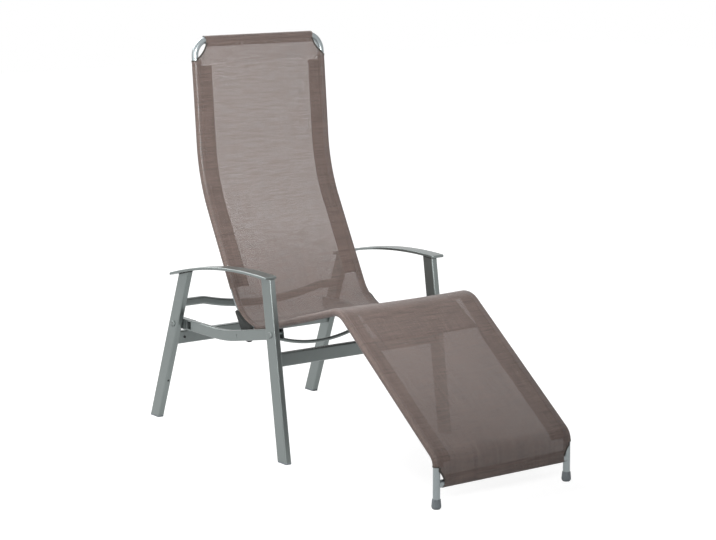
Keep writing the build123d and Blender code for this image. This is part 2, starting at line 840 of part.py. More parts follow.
def end_panel(plane, direction, length, hem_half, cut_radius):
    """Flat stretch of the sling between the side tunnels and an end hem."""
    with BuildSketch(plane.offset(tunnel_radius)) as panel:
        with Locations((0, direction * length / 2)):
            Rectangle(2 * shell_half_spacing, length)
        cut_x = hem_half - tube_radius / 2 + cut_radius
        aside = cut_x - shell_half_spacing - tunnel_outer
        cut_y = length - math.sqrt(cut_radius**2 - aside**2)
        for side in (-1, 1):
            with Locations((side * cut_x, direction * cut_y)):
                Circle(cut_radius, mode=Mode.SUBTRACT)
            with Locations((side * cut_x, 0)):
                Rectangle(2 * cut_radius, 2 * tube_radius, mode=Mode.SUBTRACT)
    return panel.sketch


def hem_flap(plane, direction, hem_half, depth):
    """Second layer of cloth behind an end hem."""
    flap_start = tube_radius / 2
    with BuildSketch(plane.offset(tunnel_radius - cloth)) as flap:
        with Locations((0, direction * (flap_start + depth) / 2)):
            Rectangle(2 * hem_half, depth - flap_start)
    return flap.sketch


def below_tubes(height):
    """Side view of the stretch round the seat bend where the tunnels are cut open."""
    start_way = (seat_bend_start - seat_centre).normalized()
    end_way = (on_bend(pivot_y - slot_end_before_pivot, 0) - seat_centre).normalized()
    reach = seat_radius + 2 * tunnel_outer
    slot_climb = pivot_z + slot_top_above_pivot - seat_bend_start.Y
    slot_top = seat_bend_start + back_line * (slot_climb / back_line.Y)
    with BuildSketch(side_view) as slot:
        with Locations((seat_centre.X, seat_centre.Y)):
            Circle(reach)
            Circle(seat_radius - height, mode=Mode.SUBTRACT)
        far = [
            seat_centre,
            seat_centre + start_way * 2 * reach,
            seat_centre + (start_way + end_way) * 2 * reach,
            seat_centre + end_way * 2 * reach,
        ]
        with BuildLine():
            Polyline([(point.X, point.Y) for point in far], close=True)
        make_face(mode=Mode.INTERSECT)
        edge = [
            seat_bend_start - start_way * height,
            seat_bend_start + start_way * 2 * tunnel_outer,
            slot_top + start_way * 2 * tunnel_outer,
            slot_top - start_way * height,
        ]
        with BuildLine():
            Polyline([(point.X, point.Y) for point in edge], close=True)
        make_face()
    return slot.sketch


# Sling: one woven sheet with a tunnel round each tube and a hem round each end bar
top_hem_half_width = shell_half_spacing - top_hem_short
foot_hem_half_width = shell_half_spacing - foot_hem_short
with BuildPart() as sling:
    with BuildLine(side_view) as sling_path:
        FilletPolyline(
            *[
                (point.X, point.Y)
                for point in (tunnel_top, lumbar, seat, knee, ankle, tunnel_foot)
            ],
            radius=shell_radii,
        )
    with BuildSketch(section_at(sling_path.line)):
        with Locations((0, tunnel_radius + cloth / 2)):
            Rectangle(2 * shell_half_spacing, cloth)
        for side in (-1, 1):
            flap_start = tube_radius / 2
            with Locations(
                (
                    side * (shell_half_spacing - (flap_start + flap_width) / 2),
                    tunnel_radius - cloth / 2,
                )
            ):
                Rectangle(flap_width - flap_start, cloth)
            with Locations((side * shell_half_spacing, 0)):
                Circle(tunnel_outer)
                Circle(tunnel_radius, mode=Mode.SUBTRACT)
    sweep()
    extrude(
        end_panel(head_plane, -1, tunnel_start, top_hem_half_width, head_cut_radius),
        amount=cloth,
    )
    extrude(hem_flap(head_plane, -1, top_hem_half_width, head_hem_depth), amount=cloth)
    foot_panel_length = tunnel_foot.Y - foot_bar_height
    extrude(
        end_panel(foot_plane, 1, foot_panel_length, foot_hem_half_width, foot_cut_radius),
        amount=cloth,
    )
    extrude(hem_flap(foot_plane, 1, foot_hem_half_width, foot_hem_depth), amount=cloth)
    for place, half in (
        ((head.X, head.Y), top_hem_half_width),
        ((ankle_y, foot_bar_height), foot_hem_half_width),
    ):
        with BuildSketch(side_view):
            with Locations(place):
                Circle(tunnel_outer)
                Circle(tunnel_radius, mode=Mode.SUBTRACT)
        extrude(amount=half, both=True)
    with BuildLine(head_plane) as inside_bow:
        FilletPolyline(
            (-shell_half_spacing, -tunnel_start),
            (-shell_half_spacing, 0),
            (shell_half_spacing, 0),
            (shell_half_spacing, -tunnel_start),
            radius=head_corner_radius,
        )
    with BuildSketch(section_at(inside_bow.line)):
        Circle(tunnel_radius - cloth_gap / 2)
    sweep(mode=Mode.SUBTRACT)
    slot_inner_x = shell_half_spacing - 2 * tube_radius * slot_inner_share
    slot_depth = shell_half_spacing + 2 * tube_radius - slot_inner_x
    for side in (-1, 1):
        slot = below_tubes(plate_above_axis).moved(Location((side * slot_inner_x, 0, 0)))
        extrude(slot, amount=side * slot_depth, mode=Mode.SUBTRACT)
        no_flap = below_tubes(tunnel_radius).moved(Location((side * slot_inner_x, 0, 0)))
        extrude(no_flap, amount=-side * flap_width, mode=Mode.SUBTRACT)

# The sheet is written in pieces that meet at its seams: panel, two side tunnels, two end hems
end_hems = {
    "head_hem": (head_plane.offset(-tunnel_outer), -1),
    "foot_hem": (foot_plane.offset(-tunnel_outer), 1),
}


def beyond_seam(plane, direction):
    """Block that holds an end hem, from its seam outwards."""
    with BuildPart() as block:
        with BuildSketch(plane.offset(-cloth_gap)):
            with Locations((0, direction * (end_seam - tunnel_start))):
                Rectangle(2 * seam_x, 2 * tunnel_start)
        extrude(amount=2 * (tunnel_outer + cloth_gap))
    return block.part


with BuildPart() as left_side:
    with Locations((seam_x, 0, 0)):
        Box(
            4 * tunnel_outer,
            4 * head.Y,
            4 * head.Y,
            align=(Align.MIN, Align.CENTER, Align.CENTER),
        )
hem_blocks = {name: beyond_seam(*place) for name, place in end_hems.items()}
tunnel = sling.part & left_side.part
save_pair(tunnel, "sling_tunnel")
for name, block in hem_blocks.items():
    save(sling.part & block, name)
panel = sling.part - left_side.part - mirror(left_side.part, about=Plane.YZ, mode=Mode.PRIVATE)
for block in hem_blocks.values():
    panel = panel - block
save(panel, "sling")

# Knee lining: a second layer sewn under the panel where it bends over the knees
lining_ends = (
    knee + (seat - knee).normalized() * lining_up_thigh,
    knee + (ankle - knee).normalized() * lining_down_leg,
)
with BuildPart() as knee_lining:
    with BuildLine(side_view) as lining_path:
        FilletPolyline(
            *[(point.X, point.Y) for point in (lining_ends[0], knee, lining_ends[1])],
            radius=knee_radius,
        )
    with BuildSketch(section_at(lining_path.line)):
        with Locations((0, tunnel_radius - cloth / 2)):
            Rectangle(2 * lining_half_width, cloth)
    sweep()
save(knee_lining.part, "knee_lining")
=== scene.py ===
"""Dresses a tilting sun lounger: woven sling, painted stand, tubes, small hardware and studio.

All sizes are in metres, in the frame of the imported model: X runs across the chair,
-Y points to the sitter's feet, +Z is up and the floor is at zero.
"""

import bisect
import json
import math
from functools import partial

import bmesh
import bpy
from bpy.props import FloatProperty, FloatVectorProperty, IntProperty, PointerProperty
from mathutils import Matrix, Vector


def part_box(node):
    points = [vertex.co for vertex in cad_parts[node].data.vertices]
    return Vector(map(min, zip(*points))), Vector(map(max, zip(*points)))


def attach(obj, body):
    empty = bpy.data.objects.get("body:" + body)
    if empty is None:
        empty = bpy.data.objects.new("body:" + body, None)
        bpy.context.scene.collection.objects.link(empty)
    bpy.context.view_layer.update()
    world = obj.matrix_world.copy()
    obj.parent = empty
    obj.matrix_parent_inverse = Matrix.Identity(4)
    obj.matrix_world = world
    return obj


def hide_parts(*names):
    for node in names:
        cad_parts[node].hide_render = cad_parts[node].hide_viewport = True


bl_info = {
    "name": "Tilting Sun Lounger",
    "version": (1, 0, 0),
    "blender": (4, 5, 0),
    "location": "View3D > Sidebar > Lounger",
    "description": "Woven sling, finishes, hardware and studio for a tilting sun lounger",
    "category": "Object",
}

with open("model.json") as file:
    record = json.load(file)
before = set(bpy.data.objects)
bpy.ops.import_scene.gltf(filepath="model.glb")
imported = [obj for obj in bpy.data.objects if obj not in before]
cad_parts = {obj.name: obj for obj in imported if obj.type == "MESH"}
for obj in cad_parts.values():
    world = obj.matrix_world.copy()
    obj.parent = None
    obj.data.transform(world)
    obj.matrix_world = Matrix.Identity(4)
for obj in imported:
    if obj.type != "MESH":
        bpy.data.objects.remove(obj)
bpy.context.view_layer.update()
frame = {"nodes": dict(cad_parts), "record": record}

# Nodes that look unlike the rest of their slot
own_looks = {
    "bolt_caps": "painted_cap",
    "left_pivot_plate": "black_plastic",
    "right_pivot_plate": "black_plastic",
    "left_pivot_pin": "stand_paint",
    "right_pivot_pin": "stand_paint",
    "rail_bolts": "stand_paint",
}

LengthProperty = partial(FloatProperty, unit="LENGTH")
LengthVectorProperty = partial(FloatVectorProperty, unit="LENGTH")
AngleProperty = partial(FloatProperty, subtype="ANGLE")
ColourProperty = partial(FloatVectorProperty, subtype="COLOR")


class ShellShape(bpy.types.PropertyGroup):
    """Side view of the tubes that carry the sling."""

    half_spacing: LengthProperty(
        name="Half Spacing",
        description="From the middle of the chair to a side tube's centre",
        default=0.230,
    )
    tube_radius: LengthProperty(
        name="Tube Radius", description="Outer radius of the bent tubes", default=0.010
    )
    head: LengthVectorProperty(
        name="Head",
        description="Y and Z of the bow behind the head",
        size=2,
        default=(0.510, 1.17104),
    )
    lumbar: LengthVectorProperty(
        name="Lumbar",
        description="Y and Z of the corner behind the small of the back",
        size=2,
        default=(0.4738, 0.75804),
    )
    seat: LengthVectorProperty(
        name="Seat",
        description="Y and Z of the corner under the hips",
        size=2,
        default=(0.2424, 0.32644),
    )
    knee: LengthVectorProperty(
        name="Knee",
        description="Y and Z of the corner under the knees",
        size=2,
        default=(-0.231, 0.46504),
    )
    ankle: LengthVectorProperty(
        name="Ankle",
        description="Y and Z of the corner at the feet",
        size=2,
        default=(-0.6619, 0.135),
    )
    bend_radii: LengthVectorProperty(
        name="Bend Radii",
        description="Radii of the lumbar, seat and knee bends",
        size=3,
        default=(0.497, 0.132, 0.065),
    )
    ankle_radius: LengthProperty(
        name="Ankle Radius", description="Radius of the bend at the feet", default=0.040
    )
    foot_bar_height: LengthProperty(
        name="Foot Bar Height", description="Height of the bar inside the lower hem", default=0.066
    )


class SlingShape(bpy.types.PropertyGroup):
    """Cut and sewing of the woven sling."""

    cloth: LengthProperty(name="Cloth", description="Thickness of the weave", default=0.0010)
    tunnel_radius: LengthProperty(
        name="Tunnel Radius",
        description="From a tube's centre to the middle of the cloth round it",
        default=0.0109,
    )
    seam_inset: LengthProperty(
        name="Seam Inset", description="From a tube's centre to the seam beside it", default=0.0150
    )
    flap_width: LengthProperty(
        name="Flap Width",
        description="From a side tube's centre to the end of the folded layer",
        default=0.0530,
    )
    head_hem_depth: LengthProperty(
        name="Head Hem Depth",
        description="From the head bow's centre to the end of the hem's folded layer",
        default=0.0220,
    )
    foot_hem_depth: LengthProperty(
        name="Foot Hem Depth",
        description="From the foot bar's centre to the end of the hem's folded layer",
        default=0.0260,
    )
    tunnel_start: LengthProperty(
        name="Tunnel Start",
        description="How far below the head bow the side tunnels begin",
        default=0.0610,
    )
    tunnel_end_height: LengthProperty(
        name="Tunnel End Height",
        description="Height above the floor at which the side tunnels end",
        default=0.1140,
    )
    head_hem_half: LengthProperty(
        name="Head Hem Half Width",
        description="Half the length of the hem over the head bow",
        default=0.1960,
    )
    foot_hem_half: LengthProperty(
        name="Foot Hem Half Width",
        description="Half the length of the hem round the foot bar",
        default=0.2130,
    )
    cut_radius: LengthProperty(
        name="Cut Radius", description="Radius of the hollow cuts at the corners", default=0.0800
    )
    flap_start: LengthProperty(
        name="Flap Start",
        description="How far below the head bow the folded layers of the side tunnels begin",
        default=0.0780,
    )
    slot_top: LengthProperty(
        name="Slot Top",
        description="Height above the floor at which the tunnels are cut open for the pivots",
        default=0.4480,
    )
    slot_end: LengthProperty(
        name="Slot End",
        description="How far back under the seat the tunnels close again",
        default=0.1840,
    )
    slot_edge: LengthProperty(
        name="Slot Edge",
        description="How far above the tube's centre the cloth ends along the slot",
        default=0.0030,
    )
    back_droop: LengthProperty(
        name="Back Droop",
        description="How far the folded layers stand off behind the back",
        default=0.0040,
    )
    leg_droop: LengthProperty(
        name="Leg Droop",
        description="How far the folded layers hang behind the leg part",
        default=0.0150,
    )
    knee_flap: LengthProperty(
        name="Knee Flap",
        description="From a side tube's centre to the end of the folded layer inside the knee bend",
        default=0.0440,
    )
    lining_half: LengthProperty(
        name="Lining Half Width",
        description="Half the width of the second layer under the knees",
        default=0.1720,
    )
    lining_up: LengthProperty(
        name="Lining Up",
        description="How far the second layer runs from the knee towards the seat",
        default=0.1000,
    )
    lining_down: LengthProperty(
        name="Lining Down",
        description="How far the second layer runs from the knee towards the feet",
        default=0.1310,
    )
    lining_droop: LengthProperty(
        name="Lining Droop",
        description="How far the second layer hangs free behind the sling inside the knee bend",
        default=0.0120,
    )
    sag: LengthProperty(
        name="Sag",
        description="How far the middle of the cloth lies below the line between the tubes",
        default=0.0030,
    )
    row_step: LengthProperty(
        name="Row Step", description="Length of a row of the cloth's mesh", default=0.0080
    )
    panel_columns: IntProperty(
        name="Panel Columns",
        description="Columns of the cloth's mesh between the tubes",
        default=48,
    )
    warp_pitch: LengthProperty(
        name="Warp Pitch",
        description="Distance between yarns that run the length of the sling",
        default=0.0016,
    )
    weft_pitch: LengthProperty(
        name="Weft Pitch",
        description="Distance between yarns that run across the sling",
        default=0.0013,
    )
    openness: FloatProperty(
        name="Openness",
        description="Share of each yarn pitch that is open to the light",
        default=0.385,
        subtype="FACTOR",
    )
    folded_openness: FloatProperty(
        name="Folded Openness",
        description="The same share on the folded layers, whose yarns shift against each other",
        default=0.18,
        subtype="FACTOR",
    )
    under_pitch: FloatProperty(
        name="Under Pitch",
        description="How much closer the yarns of a layer behind lie, which keeps fringes away",
        default=1.31,
    )
    stitch_length: LengthProperty(
        name="Stitch Length", description="Length of one stitch", default=0.0042
    )
    tape_width: LengthProperty(
        name="Tape Width",
        description="Width of the binding on the hollow-cut corners",
        default=0.0050,
    )


class Hardware(bpy.types.PropertyGroup):
    """Screws and welds of the stand."""

    screw_radius: LengthProperty(
        name="Screw Radius", description="Radius of a button head", default=0.0042
    )
    screw_head: LengthProperty(
        name="Screw Head", description="Height of a button head", default=0.0022
    )
    socket_radius: LengthProperty(
        name="Socket Radius",
        description="Radius of the hexagon socket in a button head",
        default=0.0019,
    )
    bead_radius: LengthProperty(
        name="Bead Radius", description="Radius of a weld bead", default=0.0015
    )
    bar_end: LengthProperty(
        name="Bar End",
        description="From the middle of the chair to the ends of the crossbars",
        default=0.2836,
    )
    bar_screws: LengthVectorProperty(
        name="Bar Screws",
        description="Place of the button screw in the rear crossbar",
        size=3,
        default=(0.2566, 0.54372, 0.2640),
    )
    leg_screws: LengthVectorProperty(
        name="Leg Screws",
        description="Place of the button screw low on the rear leg",
        size=3,
        default=(0.2936, 0.58441, 0.1250),
    )
    leg_rake: AngleProperty(
        name="Leg Rake",
        description="How far the rear legs lean forwards",
        default=math.radians(20.8),
    )
    bar_corner: LengthProperty(
        name="Bar Corner", description="Rounding of the crossbars' edges", default=0.004
    )
    stop_bar_corner: LengthProperty(
        name="Stop Bar Corner", description="Rounding of the stop bar's edges", default=0.006
    )
    stop_bar_height: LengthProperty(
        name="Stop Bar Height",
        description="Height of the stop bar's section, without its bow",
        default=0.024,
    )
    rod_bead_radius: LengthProperty(
        name="Rod Bead Radius",
        description="From the seat rod's centre to the middle of the bead round it",
        default=0.0058,
    )


class FinishColours(bpy.types.PropertyGroup):
    """Colours of the finishes, as linear values."""

    stand_paint: ColourProperty(
        name="Stand Paint",
        description="Satin powder coat of the stand",
        default=(0.181, 0.202, 0.198),
    )
    tube: ColourProperty(
        name="Tube", description="Clear-anodised shell tubes", default=(0.270, 0.300, 0.308)
    )
    yarn: ColourProperty(
        name="Yarn", description="Taupe yarn of the sling", default=(0.160, 0.112, 0.096)
    )
    yarn_dark: ColourProperty(
        name="Dark Yarn",
        description="Shaded side of the yarn and the dark threads among it",
        default=(0.050, 0.034, 0.028),
    )
    tape: ColourProperty(
        name="Tape", description="Binding on the cut corners", default=(0.036, 0.031, 0.026)
    )
    thread: ColourProperty(
        name="Thread", description="Sewing thread of the seams", default=(0.080, 0.058, 0.050)
    )
    black_plastic: ColourProperty(
        name="Black Plastic",
        description="Pivot covers and leg plugs",
        default=(0.014, 0.016, 0.015),
    )
    grey_plastic: ColourProperty(
        name="Grey Plastic", description="Feet and bolt caps", default=(0.170, 0.190, 0.205)
    )
    black_steel: ColourProperty(
        name="Black Steel", description="Blackened button screws", default=(0.045, 0.047, 0.046)
    )
    steel: ColourProperty(
        name="Steel", description="Screws, bolts and pins", default=(0.36, 0.37, 0.38)
    )


class StudioSettings(bpy.types.PropertyGroup):
    """Camera, lights and floor."""

    azimuth: AngleProperty(
        name="Azimuth",
        description="Camera's bearing round the chair",
        default=math.radians(-36.476),
    )
    elevation: AngleProperty(
        name="Elevation",
        description="Camera's height above the horizon",
        default=math.radians(10.149),
    )
    distance: LengthProperty(
        name="Distance", description="Camera to the point it aims at", default=5.8568
    )
    aim: LengthVectorProperty(
        name="Aim",
        description="Point that the camera looks at",
        size=3,
        default=(-0.232912, -0.317008, 0.593171),
    )
    lens: FloatProperty(
        name="Lens", description="Focal length in millimetres for a 36 mm sensor", default=108.05
    )
    top_power: FloatProperty(
        name="Top Power", description="Watts of the broad lamp above and behind", default=135.0
    )
    back_power: FloatProperty(
        name="Back Power", description="Watts of the lamp that faces the back rest", default=19.0
    )
    side_power: FloatProperty(
        name="Side Power", description="Watts of the lamp at the sitter's right", default=26.0
    )
    sky_level: FloatProperty(
        name="Sky Level", description="Strength of the even light from all round", default=0.17
    )
    floor_shade: FloatProperty(
        name="Floor Shade", description="Lightness of the floor under the chair", default=0.30
    )


def deselect_all():
    """Leaves edit mode and clears the selection."""
    if bpy.context.object and bpy.context.object.mode != "OBJECT":
        bpy.ops.object.mode_set(mode="OBJECT")
    bpy.ops.object.select_all(action="DESELECT")


def make_active(piece):
    """Selects one piece alone."""
    deselect_all()
    piece.select_set(True)
    bpy.context.view_layer.objects.active = piece


def settle(piece):
    """Moves a piece's place, turn and scale into its mesh."""
    make_active(piece)
    bpy.ops.object.transform_apply(location=True, rotation=True, scale=True)


def mesh_piece(name, points, faces, uvs):
    """New mesh object from points and faces, with a UV map of real metres."""
    mesh = bpy.data.meshes.new(name)
    mesh.from_pydata(points, [], faces)
    layer = mesh.uv_layers.new(name="cloth_metres")
    for loop in mesh.loops:
        layer.data[loop.index].uv = uvs[loop.vertex_index]
    mesh.validate()
    piece = bpy.data.objects.new(name, mesh)
    bpy.context.scene.collection.objects.link(piece)
    return piece


def smooth(piece, angle):
    """Shades a piece smooth except at edges sharper than an angle in degrees."""
    make_active(piece)
    bpy.ops.object.shade_smooth_by_angle(angle=math.radians(angle))


def clad(piece, *materials):
    """Gives a piece its materials."""
    piece.data.materials.clear()
    for material in materials:
        piece.data.materials.append(material)


def pick(piece, test, kind="FACE"):
    """Opens a piece in edit mode with the faces or vertices that pass a test selected."""
    make_active(piece)
    bpy.ops.object.mode_set(mode="EDIT")
    bpy.ops.mesh.select_mode(type=kind)
    bpy.ops.mesh.select_all(action="DESELECT")
    bpy.ops.object.mode_set(mode="OBJECT")
    for part in piece.data.polygons if kind == "FACE" else piece.data.vertices:
        part.select = test(part)
    bpy.ops.object.mode_set(mode="EDIT")


def repeat_piece(pattern, name, places):
    """One mesh with the pattern's shape at each place; the pattern is removed."""
    mesh = bmesh.new()
    for place in places:
        start = len(mesh.verts)
        mesh.from_mesh(pattern.data)
        mesh.verts.ensure_lookup_table()
        bmesh.ops.transform(mesh, matrix=place, verts=mesh.verts[start:])
    data = bpy.data.meshes.new(name)
    mesh.to_mesh(data)
    mesh.free()
    for material in pattern.data.materials:
        data.materials.append(material)
    piece = bpy.data.objects.new(name, data)
    bpy.context.scene.collection.objects.link(piece)
    bpy.data.objects.remove(pattern)
    return piece


# Finishes


def scaled(colour, factor):
    """A colour made darker or lighter."""
    return [min(1.0, factor * part) for part in colour]


class Finish:
    """The nodes of a material or a sky, with short ways to add them."""

    def __init__(self, owner, shader="Principled BSDF"):
        owner.use_nodes = True
        self.owner = owner
        self.tree = owner.node_tree
        self.shader = self.tree.nodes[shader]

    def feed(self, socket, value):
        """Links an input to an output, or sets it to a plain value."""
        if isinstance(value, bpy.types.NodeSocket):
            self.tree.links.new(value, socket)
        else:
            socket.default_value = value

    def dress(self, values):
        """Links or sets the shader's own inputs by name."""
        for name, value in values.items():
            self.feed(self.shader.inputs[name], value)

    def node(self, kind, inputs=None, **properties):
        """Adds a node with its properties, and feeds its inputs by name or number."""
        made = self.tree.nodes.new(kind)
        for name, value in properties.items():
            setattr(made, name, value)
        for name, value in (inputs or {}).items():
            self.feed(made.inputs[name], value)
        return made

    def maths(self, operation, *terms):
        """Math node on outputs or numbers."""
        made = self.node("ShaderNodeMath", operation=operation)
        for socket, term in zip(made.inputs, terms):
            self.feed(socket, term)
        return made.outputs[0]

    def spread(self, value, low, high, from_low=0.0, from_high=1.0):
        """Maps a value from one range to another, held at its ends."""
        ends = {"From Min": from_low, "From Max": from_high, "To Min": low, "To Max": high}
        return self.node("ShaderNodeMapRange", {"Value": value, **ends}).outputs["Result"]

    def tint(self, factor, first, second):
        """Mix of two colours, each an output or a plain colour."""
        first, second = (
            colour if isinstance(colour, bpy.types.NodeSocket) else (*colour, 1.0)
            for colour in (first, second)
        )
        # The node has a set of inputs and an output for each kind of data; these are the colours'
        made = self.node("ShaderNodeMix", {0: factor, 6: first, 7: second}, data_type="RGBA")
        return made.outputs[2]

    def mottle(self, factor, colour, dark, light):
        """Base colour that goes from a darker to a lighter shade of one colour."""
        shade = self.tint(factor, scaled(colour, dark), scaled(colour, light))
        self.dress({"Base Color": shade})

    def noise(self, scale, detail=2.0, stretch=None, place=None):
        """Noise on the piece's own place or a given one, stretched along its axes if asked."""
        if place is None:
            place = self.node("ShaderNodeTexCoord").outputs["Object"]
        if stretch:
            mapping = self.node("ShaderNodeMapping", {"Vector": place, "Scale": stretch})
            place = mapping.outputs["Vector"]
        inputs = {"Vector": place, "Scale": scale, "Detail": detail}
        return self.node("ShaderNodeTexNoise", inputs).outputs["Fac"]

    def bump(self, height, strength, distance):
        """Bumps the shader's normal by a height."""
        inputs = {"Height": height, "Strength": strength, "Distance": distance}
        self.dress({"Normal": self.node("ShaderNodeBump", inputs).outputs["Normal"]})


def coated_metal(name, colour, metallic, roughness, grain):
    """Satin coat or anodised skin: faint clouding, fine orange peel, uneven gloss."""
    finish = Finish(bpy.data.materials.new(name))
    finish.mottle(finish.noise(scale=7.0, detail=3.0), colour, dark=0.94, light=1.06)
    patches = finish.noise(scale=38.0, detail=4.0)
    gloss = finish.spread(patches, roughness - 0.05, roughness + 0.07)
    finish.dress({"Roughness": gloss, "Metallic": metallic})
    finish.bump(finish.noise(grain), strength=0.10, distance=0.0002)
    return finish.owner


def moulded_plastic(name, colour, roughness):
    """Plastic with a fine moulded grain and rubbed high spots."""
    finish = Finish(bpy.data.materials.new(name))
    finish.mottle(finish.noise(scale=60.0, detail=4.0), colour, dark=0.88, light=1.1)
    patches = finish.noise(scale=140.0, detail=3.0)
    finish.dress({"Roughness": finish.spread(patches, roughness - 0.08, roughness + 0.08)})
    finish.bump(finish.noise(scale=2600.0), strength=0.18, distance=0.00015)
    return finish.owner


def woven_cloth(name, sling, colours, openness):
    """Plain weave of coated yarn in real pitch: rounded yarns, open gaps, uneven threads, and
    painted shade on the low parts of the weave.
    """
    wander = 0.0010
    finish = Finish(bpy.data.materials.new(name))
    uv = finish.node("ShaderNodeUVMap", uv_map="cloth_metres").outputs["UV"]
    flat = finish.node("ShaderNodeSeparateXYZ", {"Vector": uv})
    inputs = {"Vector": uv, "Scale": 55.0, "Detail": 1.0}
    stray = finish.node("ShaderNodeTexNoise", inputs, noise_dimensions="2D").outputs["Color"]
    aside = finish.node("ShaderNodeSeparateXYZ", {"Vector": stray})
    waves = []
    for axis, pitch in (("X", sling.warp_pitch), ("Y", sling.weft_pitch)):
        moved = finish.spread(aside.outputs[axis], -wander, wander)
        place = finish.maths("ADD", flat.outputs[axis], moved)
        waves.append(finish.maths("SINE", finish.maths("MULTIPLY", place, math.pi / pitch)))
    warp_height, weft_height = (finish.maths("ABSOLUTE", wave) for wave in waves)
    over = finish.spread(finish.maths("MULTIPLY", *waves), 0.0, 1.0, -0.25, 0.25)

    # Yarn height: the thread on top stands proud by turns
    height = finish.maths(
        "ADD",
        finish.maths("MULTIPLY", warp_height, over),
        finish.maths("MULTIPLY", weft_height, finish.maths("SUBTRACT", 1.0, over)),
    )
    finish.bump(height, strength=0.55, distance=0.0004)

    # Threads differ a little in shade, most of all those that run across
    threads = finish.noise(scale=1.0, detail=3.0, stretch=(12.0, 250.0, 1.0), place=uv)
    lengthwise = finish.noise(scale=1.0, stretch=(210.0, 5.0, 1.0), place=uv)
    uneven = finish.maths(
        "ADD", finish.maths("MULTIPLY", threads, 0.68), finish.maths("MULTIPLY", lengthwise, 0.32)
    )
    mixed = finish.spread(uneven, 0.0, 1.0, 0.37, 0.62)
    shade = finish.tint(mixed, colours.yarn_dark, colours.yarn)
    # Painted shade: where the weave lies low, on the yarns' flanks and between them, the colour
    # darkens towards 0.62 of the yarn
    groove_shade_mix = finish.spread(height, 0.0, 1.0, 0.25, 0.95)

    # Gaps between yarns let the background through, and thick threads close some of them
    level, blur = math.sin(openness * math.pi / 2), 0.08
    gap_warp, gap_weft = (
        finish.spread(yarn, 1.0, 0.0, level - blur, level + blur)
        for yarn in (warp_height, weft_height)
    )
    solid = finish.maths("SUBTRACT", 1.0, finish.maths("MULTIPLY", gap_warp, gap_weft))
    thick = finish.spread(threads, 0.0, 0.36, 0.46, 0.62)
    finish.dress(
        {
            "Base Color": finish.tint(groove_shade_mix, scaled(colours.yarn, 0.62), shade),
            "Alpha": finish.maths("MAXIMUM", solid, thick),
            "Roughness": 0.62,
            "Sheen Weight": 0.15,
            "Sheen Roughness": 0.5,
        }
    )
    return finish.owner


def sewn_tape(name, colour):
    """Ribbed tape and thread, with painted shade in the grooves between the ribs."""
    finish = Finish(bpy.data.materials.new(name))
    ribs_and_groove_shade = finish.noise(scale=1.0, stretch=(1400.0, 1400.0, 500.0))
    # Painted shade: the colour follows the ribs' height, darker in the grooves
    finish.mottle(ribs_and_groove_shade, colour, dark=0.7, light=1.35)
    finish.dress({"Roughness": finish.spread(ribs_and_groove_shade, 0.6, 0.85)})
    finish.bump(ribs_and_groove_shade, strength=0.4, distance=0.0003)
    return finish.owner


def rippled_weld(name, colour):
    """Painted weld with the small ripples of its laying, and painted shade in their hollows."""
    finish = Finish(bpy.data.materials.new(name))
    ripples = finish.noise(scale=420.0)
    # Painted shade: the colour follows the ripples' height, darker in their hollows
    finish.mottle(ripples, colour, dark=0.80, light=1.05)
    finish.dress({"Roughness": finish.spread(ripples, 0.36, 0.60), "Metallic": 0.5})
    finish.bump(ripples, strength=0.6, distance=0.0006)
    return finish.owner


def finishes():
    """The lounger's materials by slot or look, made once."""
    colours, sling = bpy.context.scene.lounger_colours, bpy.context.scene.lounger_sling
    cap = scaled(colours.stand_paint, 0.9)

    # Each entry: the material's name, how it is made and from what. A metal's numbers are how
    # metallic and how rough it is and the scale of its grain; a plastic's is how rough it is.
    recipes = {
        "stand_paint": ("satin_paint", coated_metal, colours.stand_paint, 0.85, 0.32, 1900.0),
        "tube_aluminium": ("anodised_tube", coated_metal, colours.tube, 0.75, 0.30, 2400.0),
        "steel": ("bare_steel", coated_metal, colours.steel, 0.95, 0.30, 1500.0),
        "black_steel": ("black_steel", coated_metal, colours.black_steel, 0.6, 0.45, 1500.0),
        "black_plastic": ("dark_moulding", moulded_plastic, colours.black_plastic, 0.62),
        "grey_plastic": ("grey_moulding", moulded_plastic, colours.grey_plastic, 0.50),
        "painted_cap": ("painted_cap", moulded_plastic, cap, 0.6),
        "woven_sling": ("taupe_weave", woven_cloth, sling, colours, sling.openness),
        "folded_sling": ("folded_weave", woven_cloth, sling, colours, sling.folded_openness),
        "binding": ("binding_tape", sewn_tape, colours.tape),
        "thread": ("sewing_thread", sewn_tape, colours.thread),
        "weld_paint": ("painted_weld", rippled_weld, colours.stand_paint),
    }
    return {
        look: bpy.data.materials.get(name) or make(name, *values)
        for look, (name, make, *values) in recipes.items()
    }


class LOUNGER_OT_finish_frame(bpy.types.Operator):
    """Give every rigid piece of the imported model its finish"""

    bl_idname = "lounger.finish_frame"
    bl_label = "Finish Frame"

    def execute(self, context):
        made = finishes()
        for part in frame["record"]["subparts"]:
            look = own_looks.get(part["node"], part["material_slot"])
            clad(frame["nodes"][part["node"]], made[look])
        return {"FINISHED"}


# Sling

slot_pieces = 6  # pieces of a tunnel's mesh from its top to the slot's edge
lower_pieces = 15  # pieces from there to where the cloth leaves the tube
single_pieces = 3  # pieces from its top that show open weave, past which it looks folded

# Stretches along the tubes, from the knee's corner, on which the folded layers change
droop_grows = (-0.10, 0.14)
flap_narrows = (-0.10, -0.03)
flap_widens = (0.085, 0.165)


